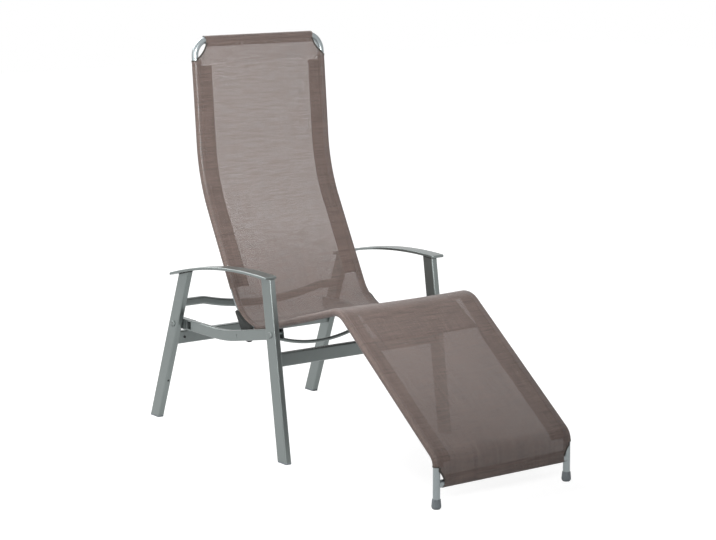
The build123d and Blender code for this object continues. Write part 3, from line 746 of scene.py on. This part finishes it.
class Route:
    """Side view of the shell's tubes: straight runs joined by round bends."""

    degrees_per_piece = 1.5

    def __init__(self, shell):
        named = (shell.head, shell.lumbar, shell.seat, shell.knee, shell.ankle)
        corners = [Vector(place) for place in named]
        corners.append(Vector((corners[-1].x, shell.foot_bar_height)))
        radii = (*shell.bend_radii, shell.ankle_radius)
        self.points = [corners[0]]
        bends = []
        for before, bend, after, radius in zip(corners, corners[1:], corners[2:], radii):
            into = (bend - before).normalized()
            out = (after - bend).normalized()
            turn = into.angle(out)
            start = bend - into * radius * math.tan(turn / 2)
            centre = bend + (out - into).normalized() * (radius / math.cos(turn / 2))
            pieces = math.ceil(math.degrees(turn) / self.degrees_per_piece)
            side = 1 if into.cross(out) > 0 else -1
            bends.append(len(self.points))
            self.points.append(start)
            for i in range(1, pieces + 1):
                spoke = start - centre
                spoke.rotate(Matrix.Rotation(side * turn * i / pieces, 2))
                self.points.append(centre + spoke)
        self.points.append(corners[-1])
        self.lengths = [0.0]
        for a, b in zip(self.points, self.points[1:]):
            self.lengths.append(self.lengths[-1] + (b - a).length)
        doubled = [self.points[0], *self.points, self.points[-1]]
        self.ways = [(b - a).normalized() for a, b in zip(doubled, doubled[2:])]
        self.total = self.lengths[-1]
        self.bend_starts = [self.lengths[i] for i in bends]
        knee_turn = (corners[3] - corners[2]).angle(corners[4] - corners[3])
        self.knee = self.bend_starts[2] + radii[2] * math.tan(knee_turn / 2)

    def at(self, length):
        """Tube centre, the way to the sitter's side and the way along, at a travelled length."""
        i = min(max(bisect.bisect_right(self.lengths, length) - 1, 0), len(self.points) - 2)
        share = (length - self.lengths[i]) / (self.lengths[i + 1] - self.lengths[i])
        way = self.ways[i].lerp(self.ways[i + 1], min(max(share, 0.0), 1.0)).normalized()
        return self.points[i].lerp(self.points[i + 1], share), Vector((way.y, -way.x)), way

    def length_where(self, test, low, high):
        """Travelled length at which a test on the tube's centre turns true, by halving."""
        for _ in range(40):
            middle = (low + high) / 2
            low, high = (low, middle) if test(self.at(middle)[0]) else (middle, high)
        return high

    def stations(self, start, end, step, marks=()):
        """Lengths of the mesh rows, with a row exactly at each mark."""
        count = max(1, round((end - start) / step))
        rows = [start + (end - start) * i / count for i in range(count + 1)]
        for mark in marks:
            near = min(range(1, count), key=lambda i: abs(rows[i] - mark))
            rows[near] = mark
        return rows


def tunnel_section(sling):
    """Half a tunnel's section from the panel round a tube to its seam.

    Each entry is how far outwards and how far towards the sitter it lies from the tube's centre,
    with the length of cloth up to it; one entry lies at the slot's edge."""
    radius = sling.tunnel_radius
    behind_panel = 1.3 * sling.cloth
    seam = Vector((-sling.seam_inset, radius - behind_panel))
    leave = math.atan2(seam.y, seam.x) + math.acos(radius / seam.length) - 2 * math.pi
    edge = math.asin(sling.slot_edge / radius)
    section = [(Vector((0.0, radius)), 0.0)]
    for start, end, pieces in ((math.pi / 2, edge, slot_pieces), (edge, leave, lower_pieces)):
        for i in range(1, pieces + 1):
            angle = start + (end - start) * i / pieces
            spot = Vector((math.cos(angle), math.sin(angle)))
            section.append((radius * spot, radius * (math.pi / 2 - angle)))
    last, length = section[-1]
    for share in (0.35, 0.7, 1.0):
        section.append((last.lerp(seam, share), length + share * (seam - last).length))
    return section


def ease(value, low, high):
    """Smooth step from 0 at low to 1 at high."""
    share = min(max((value - low) / (high - low), 0.0), 1.0)
    return share * share * (3 - 2 * share)


class SlingPlan:
    """Places and sizes that the sling's panel, tunnels, hems, binding and stitches share."""

    held_length = 0.16  # the sag grows to its full depth this far from an end bar
    flap_tail = 0.010  # the folded layer ends this far before its tunnel does
    droop_return = 0.06  # past the slot it takes this far to hang free again
    cut_overlap = 0.005  # a hollow cut begins this far inside the hem's end
    bar_trim = 0.002  # the cloth over a bar is this much narrower than the hem, each side

    def __init__(self, scene):
        self.shell, self.sling = scene.lounger_shell, scene.lounger_sling
        self.route = Route(self.shell)
        self.section = tunnel_section(self.sling)
        self.behind, self.hem_length = self.section[-1][0].y, self.section[-1][1]
        self.top = self.sling.tunnel_start
        hem_rise = self.sling.tunnel_end_height - self.shell.foot_bar_height
        self.bottom = self.route.total - hem_rise
        self.flap_end = self.bottom - self.flap_tail
        seat_bend = self.route.bend_starts[1]
        self.slot_start = self.route.length_where(
            lambda point: point.y < self.sling.slot_top, self.top, seat_bend
        )
        self.slot_end = self.route.length_where(
            lambda point: point.x < self.sling.slot_end, seat_bend, self.route.knee
        )
        self.hems = (
            (0.0, self.top, self.sling.head_hem_half, self.sling.head_hem_depth),
            (self.route.total, self.bottom, self.sling.foot_hem_half, self.sling.foot_hem_depth),
        )

    def sag(self, x, length):
        """Sag between the tubes, none where an end bar holds the cloth."""
        held = ease(min(length, self.route.total - length), 0.0, self.held_length)
        return self.sling.sag * (1 - (x / self.shell.half_spacing) ** 2) * held

    def cut_edge(self, distance, reach, hem_half):
        """Half width of the cloth at a distance from an end bar, where a corner is cut hollow."""
        radius = self.sling.cut_radius
        centre = hem_half - self.cut_overlap + radius
        aside = centre - self.shell.half_spacing - self.sling.tunnel_radius
        middle = reach - math.sqrt(radius**2 - aside**2)
        if distance < self.shell.tube_radius:
            return hem_half - self.bar_trim
        hollow = math.sqrt(radius**2 - (distance - middle) ** 2)
        return min(centre - hollow, self.shell.half_spacing)

    def half_width(self, length):
        """Half width of the panel at a travelled length."""
        if length < self.top:
            return self.cut_edge(length, self.top, self.sling.head_hem_half)
        if length > self.bottom:
            left, reach = self.route.total - length, self.route.total - self.bottom
            return self.cut_edge(left, reach, self.sling.foot_hem_half)
        return self.shell.half_spacing

    def flap(self, length):
        """How far in from the tube the folded layer reaches, and how far its end hangs free."""
        sling, knee = self.sling, self.route.knee
        on_leg = ease(length, *(knee + place for place in droop_grows))
        narrow = ease(length, *(knee + place for place in flap_narrows)) * (
            1 - ease(length, *(knee + place for place in flap_widens))
        )
        reach = sling.flap_width + (sling.knee_flap - sling.flap_width) * narrow
        droop = sling.back_droop + (sling.leg_droop - sling.back_droop) * on_leg
        droop *= (reach - sling.seam_inset) / (sling.flap_width - sling.seam_inset)
        if length > self.slot_end:
            droop *= ease(length, self.slot_end, self.slot_end + self.droop_return)
        return reach, droop


class Cloth:
    """Points, faces and flat places of a sheet of cloth."""

    def __init__(self):
        self.points = []
        self.uvs = []
        self.faces = []
        self.folded = []

    def add(self, x, centre, out, lift, u, v):
        """New point at a lift from a tube's centre, with its place on the flat cloth."""
        here = centre + out * lift
        self.points.append((x, here.x, here.y))
        self.uvs.append((u, v))
        return len(self.points) - 1

    def bridge(self, first, second, forwards=True, folded=False):
        """Faces between two rows of points, in the closed weave where the cloth is folded."""
        if not forwards:
            first, second = second, first
        for i in range(len(first) - 1):
            self.faces.append((first[i], second[i], second[i + 1], first[i + 1]))
            self.folded.append(folded)


def sheet_piece(name, cloth):
    """Mesh piece of a sheet, finished in the sling's weave and riding on the shell."""
    piece = mesh_piece(name, cloth.points, cloth.faces, cloth.uvs)
    made = finishes()
    clad(piece, made["woven_sling"], made["folded_sling"])
    for face, folded in zip(piece.data.polygons, cloth.folded):
        face.material_index = int(folded)
    used = {point for face in cloth.faces for point in face}
    if len(used) < len(cloth.points):
        mesh = bmesh.new()
        mesh.from_mesh(piece.data)
        unused = [vert for vert in mesh.verts if not vert.link_faces]
        bmesh.ops.delete(mesh, geom=unused, context="VERTS")
        mesh.to_mesh(piece.data)
        mesh.free()
    smooth(piece, 60.0)
    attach(piece, "shell")
    return piece


def lay_panel(plan, cloth, lengths, shares):
    """Rows of the panel between the tubes, narrowed where the corners are cut."""
    panel = []
    for length in lengths:
        centre, out, _ = plan.route.at(length)
        edge = plan.half_width(length)
        row = []
        for share in shares:
            x = share * edge
            lift = plan.sling.tunnel_radius - plan.sag(x, length)
            row.append(cloth.add(x, centre, out, lift, x, length))
        panel.append(row)
    for first, second in zip(panel, panel[1:]):
        cloth.bridge(first, second)
    return panel


def lay_tunnel(plan, cloth, side, lengths, panel):
    """Side tunnel: round the tube, back to the seam, and on as a loose layer behind the panel."""
    shell, sling, section = plan.shell, plan.sling, plan.section
    curl = 1.6
    rows = []
    for length, panel_row in zip(lengths, panel):
        if not plan.top <= length <= plan.bottom:
            continue
        centre, out, _ = plan.route.at(length)
        row = [panel_row[-1] if side > 0 else panel_row[0]]
        for offset, travelled in section[1:]:
            x = side * (shell.half_spacing + offset.x)
            u = side * (shell.half_spacing + travelled)
            row.append(cloth.add(x, centre, out, offset.y, u, length))
        reach, droop = plan.flap(length)
        for share in (0.0, 0.2, 0.4, 0.6, 0.8, 1.0):
            inset = sling.seam_inset + share * (reach - sling.seam_inset)
            x = side * (shell.half_spacing - inset)
            lift = plan.behind - plan.sag(x, length) * share - droop * share**curl
            u, v = sling.under_pitch * x, sling.under_pitch * length
            row.append(cloth.add(x, centre, out, lift, u, v))
        rows.append((length, row))

    # Along the slot the tunnel's lower part is left out, and at both ends the loose layer
    single = (0, single_pieces + 1)
    for (start, last), (end, row) in zip(rows, rows[1:]):
        middle = (start + end) / 2
        spans = [single, (single_pieces, len(section)), (len(section), len(row))]
        if plan.slot_start < middle < plan.slot_end:
            spans = [single, (single_pieces, slot_pieces + 1)]
        elif not sling.flap_start < middle < plan.flap_end:
            spans = spans[:2]
        for a, b in spans:
            cloth.bridge(last[a:b], row[a:b], forwards=side > 0, folded=a > 0)


def lay_hem(plan, cloth, shares, last, forwards, hem):
    """End hem: round the bar and back to its seam, with a layer behind the panel."""
    length, _, hem_half, depth = hem
    seam_inset = plan.sling.seam_inset
    sense = 1 if forwards else -1
    centre, out, way = plan.route.at(length)
    entries = list(plan.section[1:])
    for share in (0.5, 1.0):
        run = share * (depth - seam_inset)
        entries.append((Vector((-seam_inset - run, plan.behind)), plan.hem_length + run))
    for offset, travelled in entries:
        here = centre + way * (sense * offset.x)
        flat = length + sense * travelled
        row = []
        for share in shares:
            x = share * hem_half
            row.append(cloth.add(x, here, out, offset.y, x, flat))
        cloth.bridge(last, row, forwards)
        last = row


def bind_corners(plan):
    """Folded tape along the four hollow cuts and round the mouths of the tunnels."""
    shell, sling, route = plan.shell, plan.sling, plan.route
    tape = Cloth()
    pieces, small_step = 16, 0.0005
    proud, overhang, cuff = 0.6 * sling.cloth, 0.0004, 0.7 * sling.tape_width
    for end, mouth, hem_half, _ in plan.hems:
        sense = 1 if mouth > end else -1
        reach = abs(mouth - end)
        for side in (-1, 1):
            forwards = side * sense > 0
            last = None
            for i in range(pieces + 1):
                away = shell.tube_radius + (reach - shell.tube_radius) * i / pieces
                edge = plan.cut_edge(away, reach, hem_half)
                slope = plan.cut_edge(away + small_step, reach, hem_half) - edge
                inward = Vector((-small_step, slope)).normalized() * sling.tape_width
                row = []
                for lift, share in ((proud, 1.0), (proud, 0.0), (-proud, 0.0), (-proud, 1.0)):
                    x = side * (edge + share * inward.x + (1 - share) * overhang)
                    length = end + sense * (away + share * inward.y)
                    centre, out, _ = route.at(length)
                    row.append(tape.add(x, centre, out, sling.tunnel_radius + lift, x, length))
                if last:
                    tape.bridge(last, row, forwards)
                last = row
            last = None
            for length in (mouth, mouth + sense * cuff):
                centre, out, _ = route.at(length)
                row = []
                for offset, travelled in plan.section[:-3]:
                    spot = offset * ((sling.tunnel_radius + proud) / sling.tunnel_radius)
                    x = side * (shell.half_spacing + spot.x)
                    row.append(tape.add(x, centre, out, spot.y, travelled, length))
                if last:
                    tape.bridge(last, row, forwards)
                last = row
    piece = mesh_piece("corner_binding", tape.points, tape.faces, tape.uvs)
    smooth(piece, 50.0)
    clad(piece, finishes()["binding"])
    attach(piece, "shell")
    return piece


class LOUNGER_OT_weave_sling(bpy.types.Operator):
    """Lay the woven sheet over the tubes, with its side tunnels and end hems"""

    bl_idname = "lounger.weave_sling"
    bl_label = "Weave Sling"

    def execute(self, context):
        plan = SlingPlan(context.scene)
        shell, sling, route = plan.shell, plan.sling, plan.route
        marks = (
            plan.top, sling.flap_start, plan.slot_start, plan.slot_end, plan.flap_end, plan.bottom
        )
        lengths = route.stations(0.0, route.total, sling.row_step, marks)
        half = sling.panel_columns // 2
        shares = [i / half for i in range(-half, half + 1)]
        cloth = Cloth()
        panel = lay_panel(plan, cloth, lengths, shares)
        for side in (-1, 1):
            lay_tunnel(plan, cloth, side, lengths, panel)
        head_hem, foot_hem = plan.hems
        lay_hem(plan, cloth, shares, panel[0], False, head_hem)
        lay_hem(plan, cloth, shares, panel[-1], True, foot_hem)

        tape = bind_corners(plan)
        piece = sheet_piece("woven_sling", cloth)
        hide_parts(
            "sling", "left_sling_tunnel", "right_sling_tunnel", "head_hem", "foot_hem"
        )
        return {"FINISHED"}


class LOUNGER_OT_line_knees(bpy.types.Operator):
    """Sew the second layer under the sling where it bends over the knees"""

    bl_idname = "lounger.line_knees"
    bl_label = "Line Knees"

    def execute(self, context):
        plan = SlingPlan(context.scene)
        sling, route = plan.sling, plan.route
        start, end = route.knee - sling.lining_up, route.knee + sling.lining_down
        half_columns = 20
        below = 1.2 * sling.cloth
        cloth = Cloth()
        rows = []
        for length in route.stations(start, end, sling.row_step):
            centre, out, _ = route.at(length)
            droop = sling.lining_droop * math.sin(math.pi * (length - start) / (end - start))
            row = []
            for i in range(-half_columns, half_columns + 1):
                x = i / half_columns * sling.lining_half
                lift = sling.tunnel_radius - below - plan.sag(x, length) - droop
                u, v = sling.under_pitch * x, sling.under_pitch * length
                row.append(cloth.add(x, centre, out, lift, u, v))
            rows.append(row)
        for first, second in zip(rows, rows[1:]):
            cloth.bridge(first, second)
        piece = sheet_piece("knee_lining_layer", cloth)
        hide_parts("knee_lining")
        return {"FINISHED"}


class LOUNGER_OT_stitch_seams(bpy.types.Operator):
    """Sew the seams beside the tubes, the end hems and the knee lining"""

    bl_idname = "lounger.stitch_seams"
    bl_label = "Stitch Seams"

    def execute(self, context):
        plan = SlingPlan(context.scene)
        shell, sling, route = plan.shell, plan.sling, plan.route
        half_width, half_length, height = 0.0004, 0.0015, 0.0005
        proud = 0.4 * sling.cloth
        end_margin, edge_margin, head_trim, foot_trim = 0.006, 0.003, 0.002, 0.001
        deselect_all()
        bpy.ops.mesh.primitive_ico_sphere_add(subdivisions=1, radius=1.0)
        stitch = context.object
        stitch.name = "stitch_pattern"
        pick(stitch, lambda vert: True, "VERT")
        bpy.ops.mesh.bisect(
            plane_co=(0, 0, 0), plane_no=(0, 0, 1), clear_inner=True, use_fill=False
        )
        bpy.ops.object.mode_set(mode="OBJECT")
        stitch.scale = (half_width, half_length, height)
        settle(stitch)
        clad(stitch, finishes()["thread"])
        places = []

        def put(x, length, turn):
            """Adds a stitch's place on the panel, turned from the way along the tubes."""
            centre, out, way = route.at(length)
            here = centre + out * (sling.tunnel_radius - plan.sag(x, length) + proud)
            along = Vector((0.0, way.x, way.y))
            up = Vector((0.0, out.x, out.y))
            axes = Matrix((along.cross(up), along, up)).transposed().to_4x4()
            spot = Matrix.Translation((x, here.x, here.y))
            places.append(spot @ axes @ Matrix.Rotation(turn, 4, "Z"))

        seam = shell.half_spacing - sling.seam_inset
        for start, end in (
            (plan.top + end_margin, plan.slot_start),
            (plan.slot_end, plan.bottom - end_margin),
        ):
            count = int((end - start) / sling.stitch_length)
            for side in (-1, 1):
                for i in range(count):
                    put(side * seam, start + (i + 0.5) * (end - start) / count, 0.0)
        for length, half in (
            (sling.head_hem_depth - edge_margin, sling.head_hem_half - head_trim),
            (route.total - sling.foot_hem_depth + edge_margin, sling.foot_hem_half - foot_trim),
            (route.knee - sling.lining_up + edge_margin, sling.lining_half),
            (route.knee + sling.lining_down - edge_margin, sling.lining_half),
        ):
            count = int(2 * half / sling.stitch_length)
            for i in range(count):
                put(-half + (i + 0.5) * 2 * half / count, length, math.pi / 2)
        piece = repeat_piece(stitch, "seam_stitches", places)
        smooth(piece, 80.0)
        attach(piece, "shell")
        return {"FINISHED"}


# Hardware


class LOUNGER_OT_set_screws(bpy.types.Operator):
    """Turn the button-head screws with hexagon sockets in the stand"""

    bl_idname = "lounger.set_screws"
    bl_label = "Set Screws"

    def execute(self, context):
        hardware = context.scene.lounger_hardware
        made = finishes()
        radius, height = hardware.screw_radius, hardware.screw_head
        rounding, shank_inset, shank_length = 0.55 * height, 0.38 * radius, 1.6 * height
        deselect_all()
        bpy.ops.mesh.primitive_cylinder_add(
            vertices=36, radius=radius, depth=height, location=(0, 0, height / 2)
        )
        screw = context.object
        screw.name = "screw_pattern"
        settle(screw)
        pick(screw, lambda face: face.normal.z > 0.9)
        bpy.ops.mesh.bevel(offset=rounding, segments=5)
        pick(screw, lambda face: face.normal.z < -0.9)
        bpy.ops.mesh.inset(thickness=shank_inset)
        bpy.ops.mesh.extrude_region_move(TRANSFORM_OT_translate={"value": (0, 0, -shank_length)})
        bpy.ops.object.mode_set(mode="OBJECT")
        deselect_all()
        bpy.ops.mesh.primitive_cylinder_add(
            vertices=6, radius=hardware.socket_radius, depth=height, location=(0, 0, height)
        )
        socket = context.object
        make_active(screw)
        cut = screw.modifiers.new("socket", "BOOLEAN")
        cut.operation = "DIFFERENCE"
        cut.object = socket
        bpy.ops.object.modifier_apply(modifier="socket")
        bpy.data.objects.remove(socket)

        # Painted shade: the socket's inside takes the near-black plastic finish, standing for the
        # shade in the recess
        clad(screw, made["black_steel"], made["black_plastic"])
        for face in screw.data.polygons:
            in_socket_shade = face.center.xy.length < 0.97 * hardware.socket_radius
            face.material_index = int(in_socket_shade and face.center.z > 0.3 * height)
        places = []
        for spot, lean in (
            (hardware.bar_screws, 0.0),
            (hardware.leg_screws, hardware.leg_rake),
        ):
            facing = Vector((0.0, -math.cos(lean), -math.sin(lean))).to_track_quat("Z", "Y")
            for side in (-1, 1):
                where = Vector((side * spot[0], spot[1], spot[2]))
                places.append(Matrix.Translation(where) @ facing.to_matrix().to_4x4())
        piece = repeat_piece(screw, "socket_screws", places)
        smooth(piece, 35.0)
        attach(piece, "stand")
        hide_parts("button_screws")
        return {"FINISHED"}


def weld_outline(name, wide, tall, corner, bead_radius):
    """Flat bead round a bar's rounded section, with the section in the XY plane."""
    deselect_all()
    bpy.ops.mesh.primitive_plane_add(size=1.0)
    bead = bpy.context.object
    bead.name = name
    bead.scale = (wide, tall, 1.0)
    settle(bead)
    pick(bead, lambda vert: True, "VERT")
    bpy.ops.mesh.bevel(offset=corner, segments=5, affect="VERTICES")
    bpy.ops.mesh.select_mode(type="EDGE")
    bpy.ops.mesh.select_all(action="SELECT")
    bpy.ops.mesh.subdivide(number_cuts=6)
    bpy.ops.mesh.select_all(action="SELECT")
    bpy.ops.mesh.delete(type="ONLY_FACE")
    bpy.ops.object.mode_set(mode="OBJECT")
    for edge in bead.data.edges:
        first, second = (bead.data.vertices[i].co for i in edge.vertices)
        middle = (first + second) / 2
        if abs(middle.x) < wide / 4 and abs(middle.y) < tall / 4:
            raise RuntimeError("A weld outline has edges inside it")
    make_active(bead)
    bpy.ops.object.convert(target="CURVE")
    bead.data.bevel_depth = bead_radius
    bead.data.bevel_resolution = 2
    bpy.ops.object.convert(target="MESH")
    return bead


class LOUNGER_OT_lay_welds(bpy.types.Operator):
    """Lay the weld beads round the ends of the bars and of the seat rod"""

    bl_idname = "lounger.lay_welds"
    bl_label = "Lay Welds"

    def execute(self, context):
        shell, hardware = context.scene.lounger_shell, context.scene.lounger_hardware
        made = finishes()
        bead_sink = 0.0003
        upright = Matrix(((0, 0, 1, 0), (1, 0, 0, 0), (0, 1, 0, 0), (0, 0, 0, 1)))
        for name in ("front_crossbar", "rear_crossbar", "stop_bar"):
            low, high = (Vector(v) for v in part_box(name))
            corner, tall = hardware.bar_corner, high.z - low.z
            if name == "stop_bar":
                corner, tall = hardware.stop_bar_corner, hardware.stop_bar_height
            bead = weld_outline(
                name + "_welds", high.y - low.y, tall, corner, hardware.bead_radius
            )
            middle = Vector((0.0, (low.y + high.y) / 2, high.z - tall / 2))
            places = []
            for side in (-1, 1):
                where = middle + Vector((side * (hardware.bar_end - bead_sink), 0.0, 0.0))
                places.append(Matrix.Translation(where) @ upright)
            piece = repeat_piece(bead, name + "_welds", places)
            smooth(piece, 70.0)
            clad(piece, made["weld_paint"])
            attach(piece, "stand")

        # Seat rod: a bead at each end, square to the rod where it meets the tube
        inset, drop, slope, flare = 0.0102, 0.0122, 0.6, 1.12
        route = Route(shell)
        low, high = (Vector(v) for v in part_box("seat_rod"))
        middle_y = (low.y + high.y) / 2
        centre = route.at(
            route.length_where(lambda point: point.x < middle_y, route.bend_starts[1], route.knee)
        )[0]
        deselect_all()
        bpy.ops.mesh.primitive_torus_add(
            major_segments=36,
            minor_segments=8,
            major_radius=hardware.rod_bead_radius,
            minor_radius=0.8 * hardware.bead_radius,
        )
        bead = context.object
        bead.name = "rod_bead"
        pick(bead, lambda vert: vert.co.z > 0, "VERT")
        bpy.ops.transform.resize(value=(flare, flare, 1.0), center_override=(0, 0, 0))
        bpy.ops.object.mode_set(mode="OBJECT")
        places = []
        for side in (-1, 1):
            where = Vector((side * (shell.half_spacing - inset), centre.x, centre.y - drop))
            facing = Vector((side, 0.0, slope)).to_track_quat("Z", "Y").to_matrix().to_4x4()
            places.append(Matrix.Translation(where) @ facing)
        piece = repeat_piece(bead, "seat_rod_welds", places)
        smooth(piece, 70.0)
        clad(piece, made["tube_aluminium"])
        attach(piece, "shell")
        return {"FINISHED"}


# Studio


def seen_rays(finish):
    """1 for a ray that shows the background: from the camera, in a gloss or through glass."""
    path = finish.node("ShaderNodeLightPath").outputs
    indirect = finish.maths("MAXIMUM", path["Is Glossy Ray"], path["Is Transmission Ray"])
    return finish.maths("MAXIMUM", path["Is Camera Ray"], indirect)


def pale_floor(shade):
    """Floor that looks white, with painted shade near the chair: there its glow is weaker, and
    through the open weave it hardly glows.

    The lamps light it at its own shade, for the shadow. From below it is clear."""
    near, far_off = 1.8, 4.3
    # Painted shade: close to the chair the glow is weaker, and seen through the weave there it is
    # almost gone, so the floor under and behind the chair reads darker than the white further off
    shaded_glow_near, shaded_glow_through = 0.84, 0.04
    finish = Finish(bpy.data.materials.new("pale_floor"))
    place = finish.node("ShaderNodeTexCoord").outputs["Object"]
    away = finish.node("ShaderNodeVectorMath", {0: place}, operation="LENGTH").outputs["Value"]
    far = finish.spread(away, 0.0, 1.0, near, far_off)
    layers = finish.node("ShaderNodeLightPath").outputs["Transparent Depth"]
    direct = finish.maths("LESS_THAN", layers, 0.5)
    bare = finish.maths("MAXIMUM", finish.spread(direct, shaded_glow_through, 1.0), far)
    seen = finish.maths("MULTIPLY", seen_rays(finish), bare)
    glow = finish.maths("MULTIPLY", seen, finish.spread(far, shaded_glow_near, 1.0))
    underside = finish.node("ShaderNodeNewGeometry").outputs["Backfacing"]
    finish.dress(
        {
            "Base Color": (shade, shade, shade, 1.0),
            "Roughness": 0.9,
            "Emission Color": (1.0, 1.0, 1.0, 1.0),
            "Emission Strength": glow,
            "Alpha": finish.maths("SUBTRACT", 1.0, underside),
        }
    )
    return finish.owner


class LOUNGER_OT_build_studio(bpy.types.Operator):
    """Set up the camera, the soft lamps and the pale floor"""

    bl_idname = "lounger.build_studio"
    bl_label = "Build Studio"

    def execute(self, context):
        studio = context.scene.lounger_studio
        level = math.cos(studio.elevation)
        back = Vector(
            (
                math.sin(studio.azimuth) * level,
                -math.cos(studio.azimuth) * level,
                math.sin(studio.elevation),
            )
        )
        deselect_all()
        bpy.ops.object.camera_add(
            location=Vector(studio.aim) + back * studio.distance,
            rotation=(-back).to_track_quat("-Z", "Y").to_euler(),
        )
        camera = context.object
        camera.name = "photo_camera"
        camera.data.lens = studio.lens
        camera.data.sensor_width = 36.0
        camera.data.clip_start = 0.05
        camera.data.clip_end = 100.0
        context.scene.camera = camera

        for name, spot, target, size, spread, power in (
            ("top_lamp", (-0.7, 2.3, 3.0), (0.0, -0.1, 0.4), 2.4, 180.0, studio.top_power),
            ("back_lamp", (-1.1, -1.7, 1.5), (0.0, 0.5, 0.85), 1.2, 75.0, studio.back_power),
            ("side_lamp", (-3.0, 0.2, 1.6), (0.0, 0.1, 0.4), 2.0, 180.0, studio.side_power),
        ):
            deselect_all()
            turn = (Vector(spot) - Vector(target)).to_track_quat("Z", "Y").to_euler()
            bpy.ops.object.light_add(type="AREA", location=spot, rotation=turn)
            lamp = context.object
            lamp.name = name
            lamp.data.size = size
            lamp.data.spread = math.radians(spread)
            lamp.data.energy = power

        deselect_all()
        bpy.ops.mesh.primitive_plane_add(size=24.0)
        floor = context.object
        floor.name = "studio_floor"
        clad(floor, pale_floor(studio.floor_shade))

        sky = Finish(bpy.data.worlds.new("studio_sky"), "Background")
        glow = sky.spread(seen_rays(sky), studio.sky_level, 1.0)
        sky.dress({"Color": (1.0, 1.0, 1.0, 1.0), "Strength": glow})
        context.scene.world = sky.owner
        context.scene.view_settings.view_transform = "Standard"
        return {"FINISHED"}


# Add-on


class LOUNGER_PT_panel(bpy.types.Panel):
    """Lists the lounger's steps and sizes"""

    bl_idname = "LOUNGER_PT_panel"
    bl_label = "Tilting Sun Lounger"
    bl_space_type = "VIEW_3D"
    bl_region_type = "UI"
    bl_category = "Lounger"

    def draw(self, context):
        layout = self.layout
        for step in steps:
            layout.operator(step.bl_idname)
        for group in settings:
            box = layout.box()
            values = getattr(context.scene, group)
            for name in settings[group].__annotations__:
                box.prop(values, name)


settings = {
    "lounger_shell": ShellShape,
    "lounger_sling": SlingShape,
    "lounger_hardware": Hardware,
    "lounger_colours": FinishColours,
    "lounger_studio": StudioSettings,
}
steps = (
    LOUNGER_OT_finish_frame,
    LOUNGER_OT_weave_sling,
    LOUNGER_OT_line_knees,
    LOUNGER_OT_stitch_seams,
    LOUNGER_OT_set_screws,
    LOUNGER_OT_lay_welds,
    LOUNGER_OT_build_studio,
)


def register():
    """Registers the settings, the steps and the panel."""
    for item in (*settings.values(), *steps, LOUNGER_PT_panel):
        bpy.utils.register_class(item)
    for name, group in settings.items():
        setattr(bpy.types.Scene, name, PointerProperty(type=group))


def unregister():
    """Takes away all that register added."""
    for name in settings:
        delattr(bpy.types.Scene, name)
    for item in (LOUNGER_PT_panel, *reversed(steps), *reversed(list(settings.values()))):
        bpy.utils.unregister_class(item)


def main():
    """Makes the lounger's pieces."""
    register()
    bpy.ops.lounger.finish_frame()
    bpy.ops.lounger.weave_sling()
    bpy.ops.lounger.line_knees()
    bpy.ops.lounger.stitch_seams()
    bpy.ops.lounger.set_screws()
    bpy.ops.lounger.lay_welds()
    bpy.ops.lounger.build_studio()


if __name__ == "__main__":
    main()
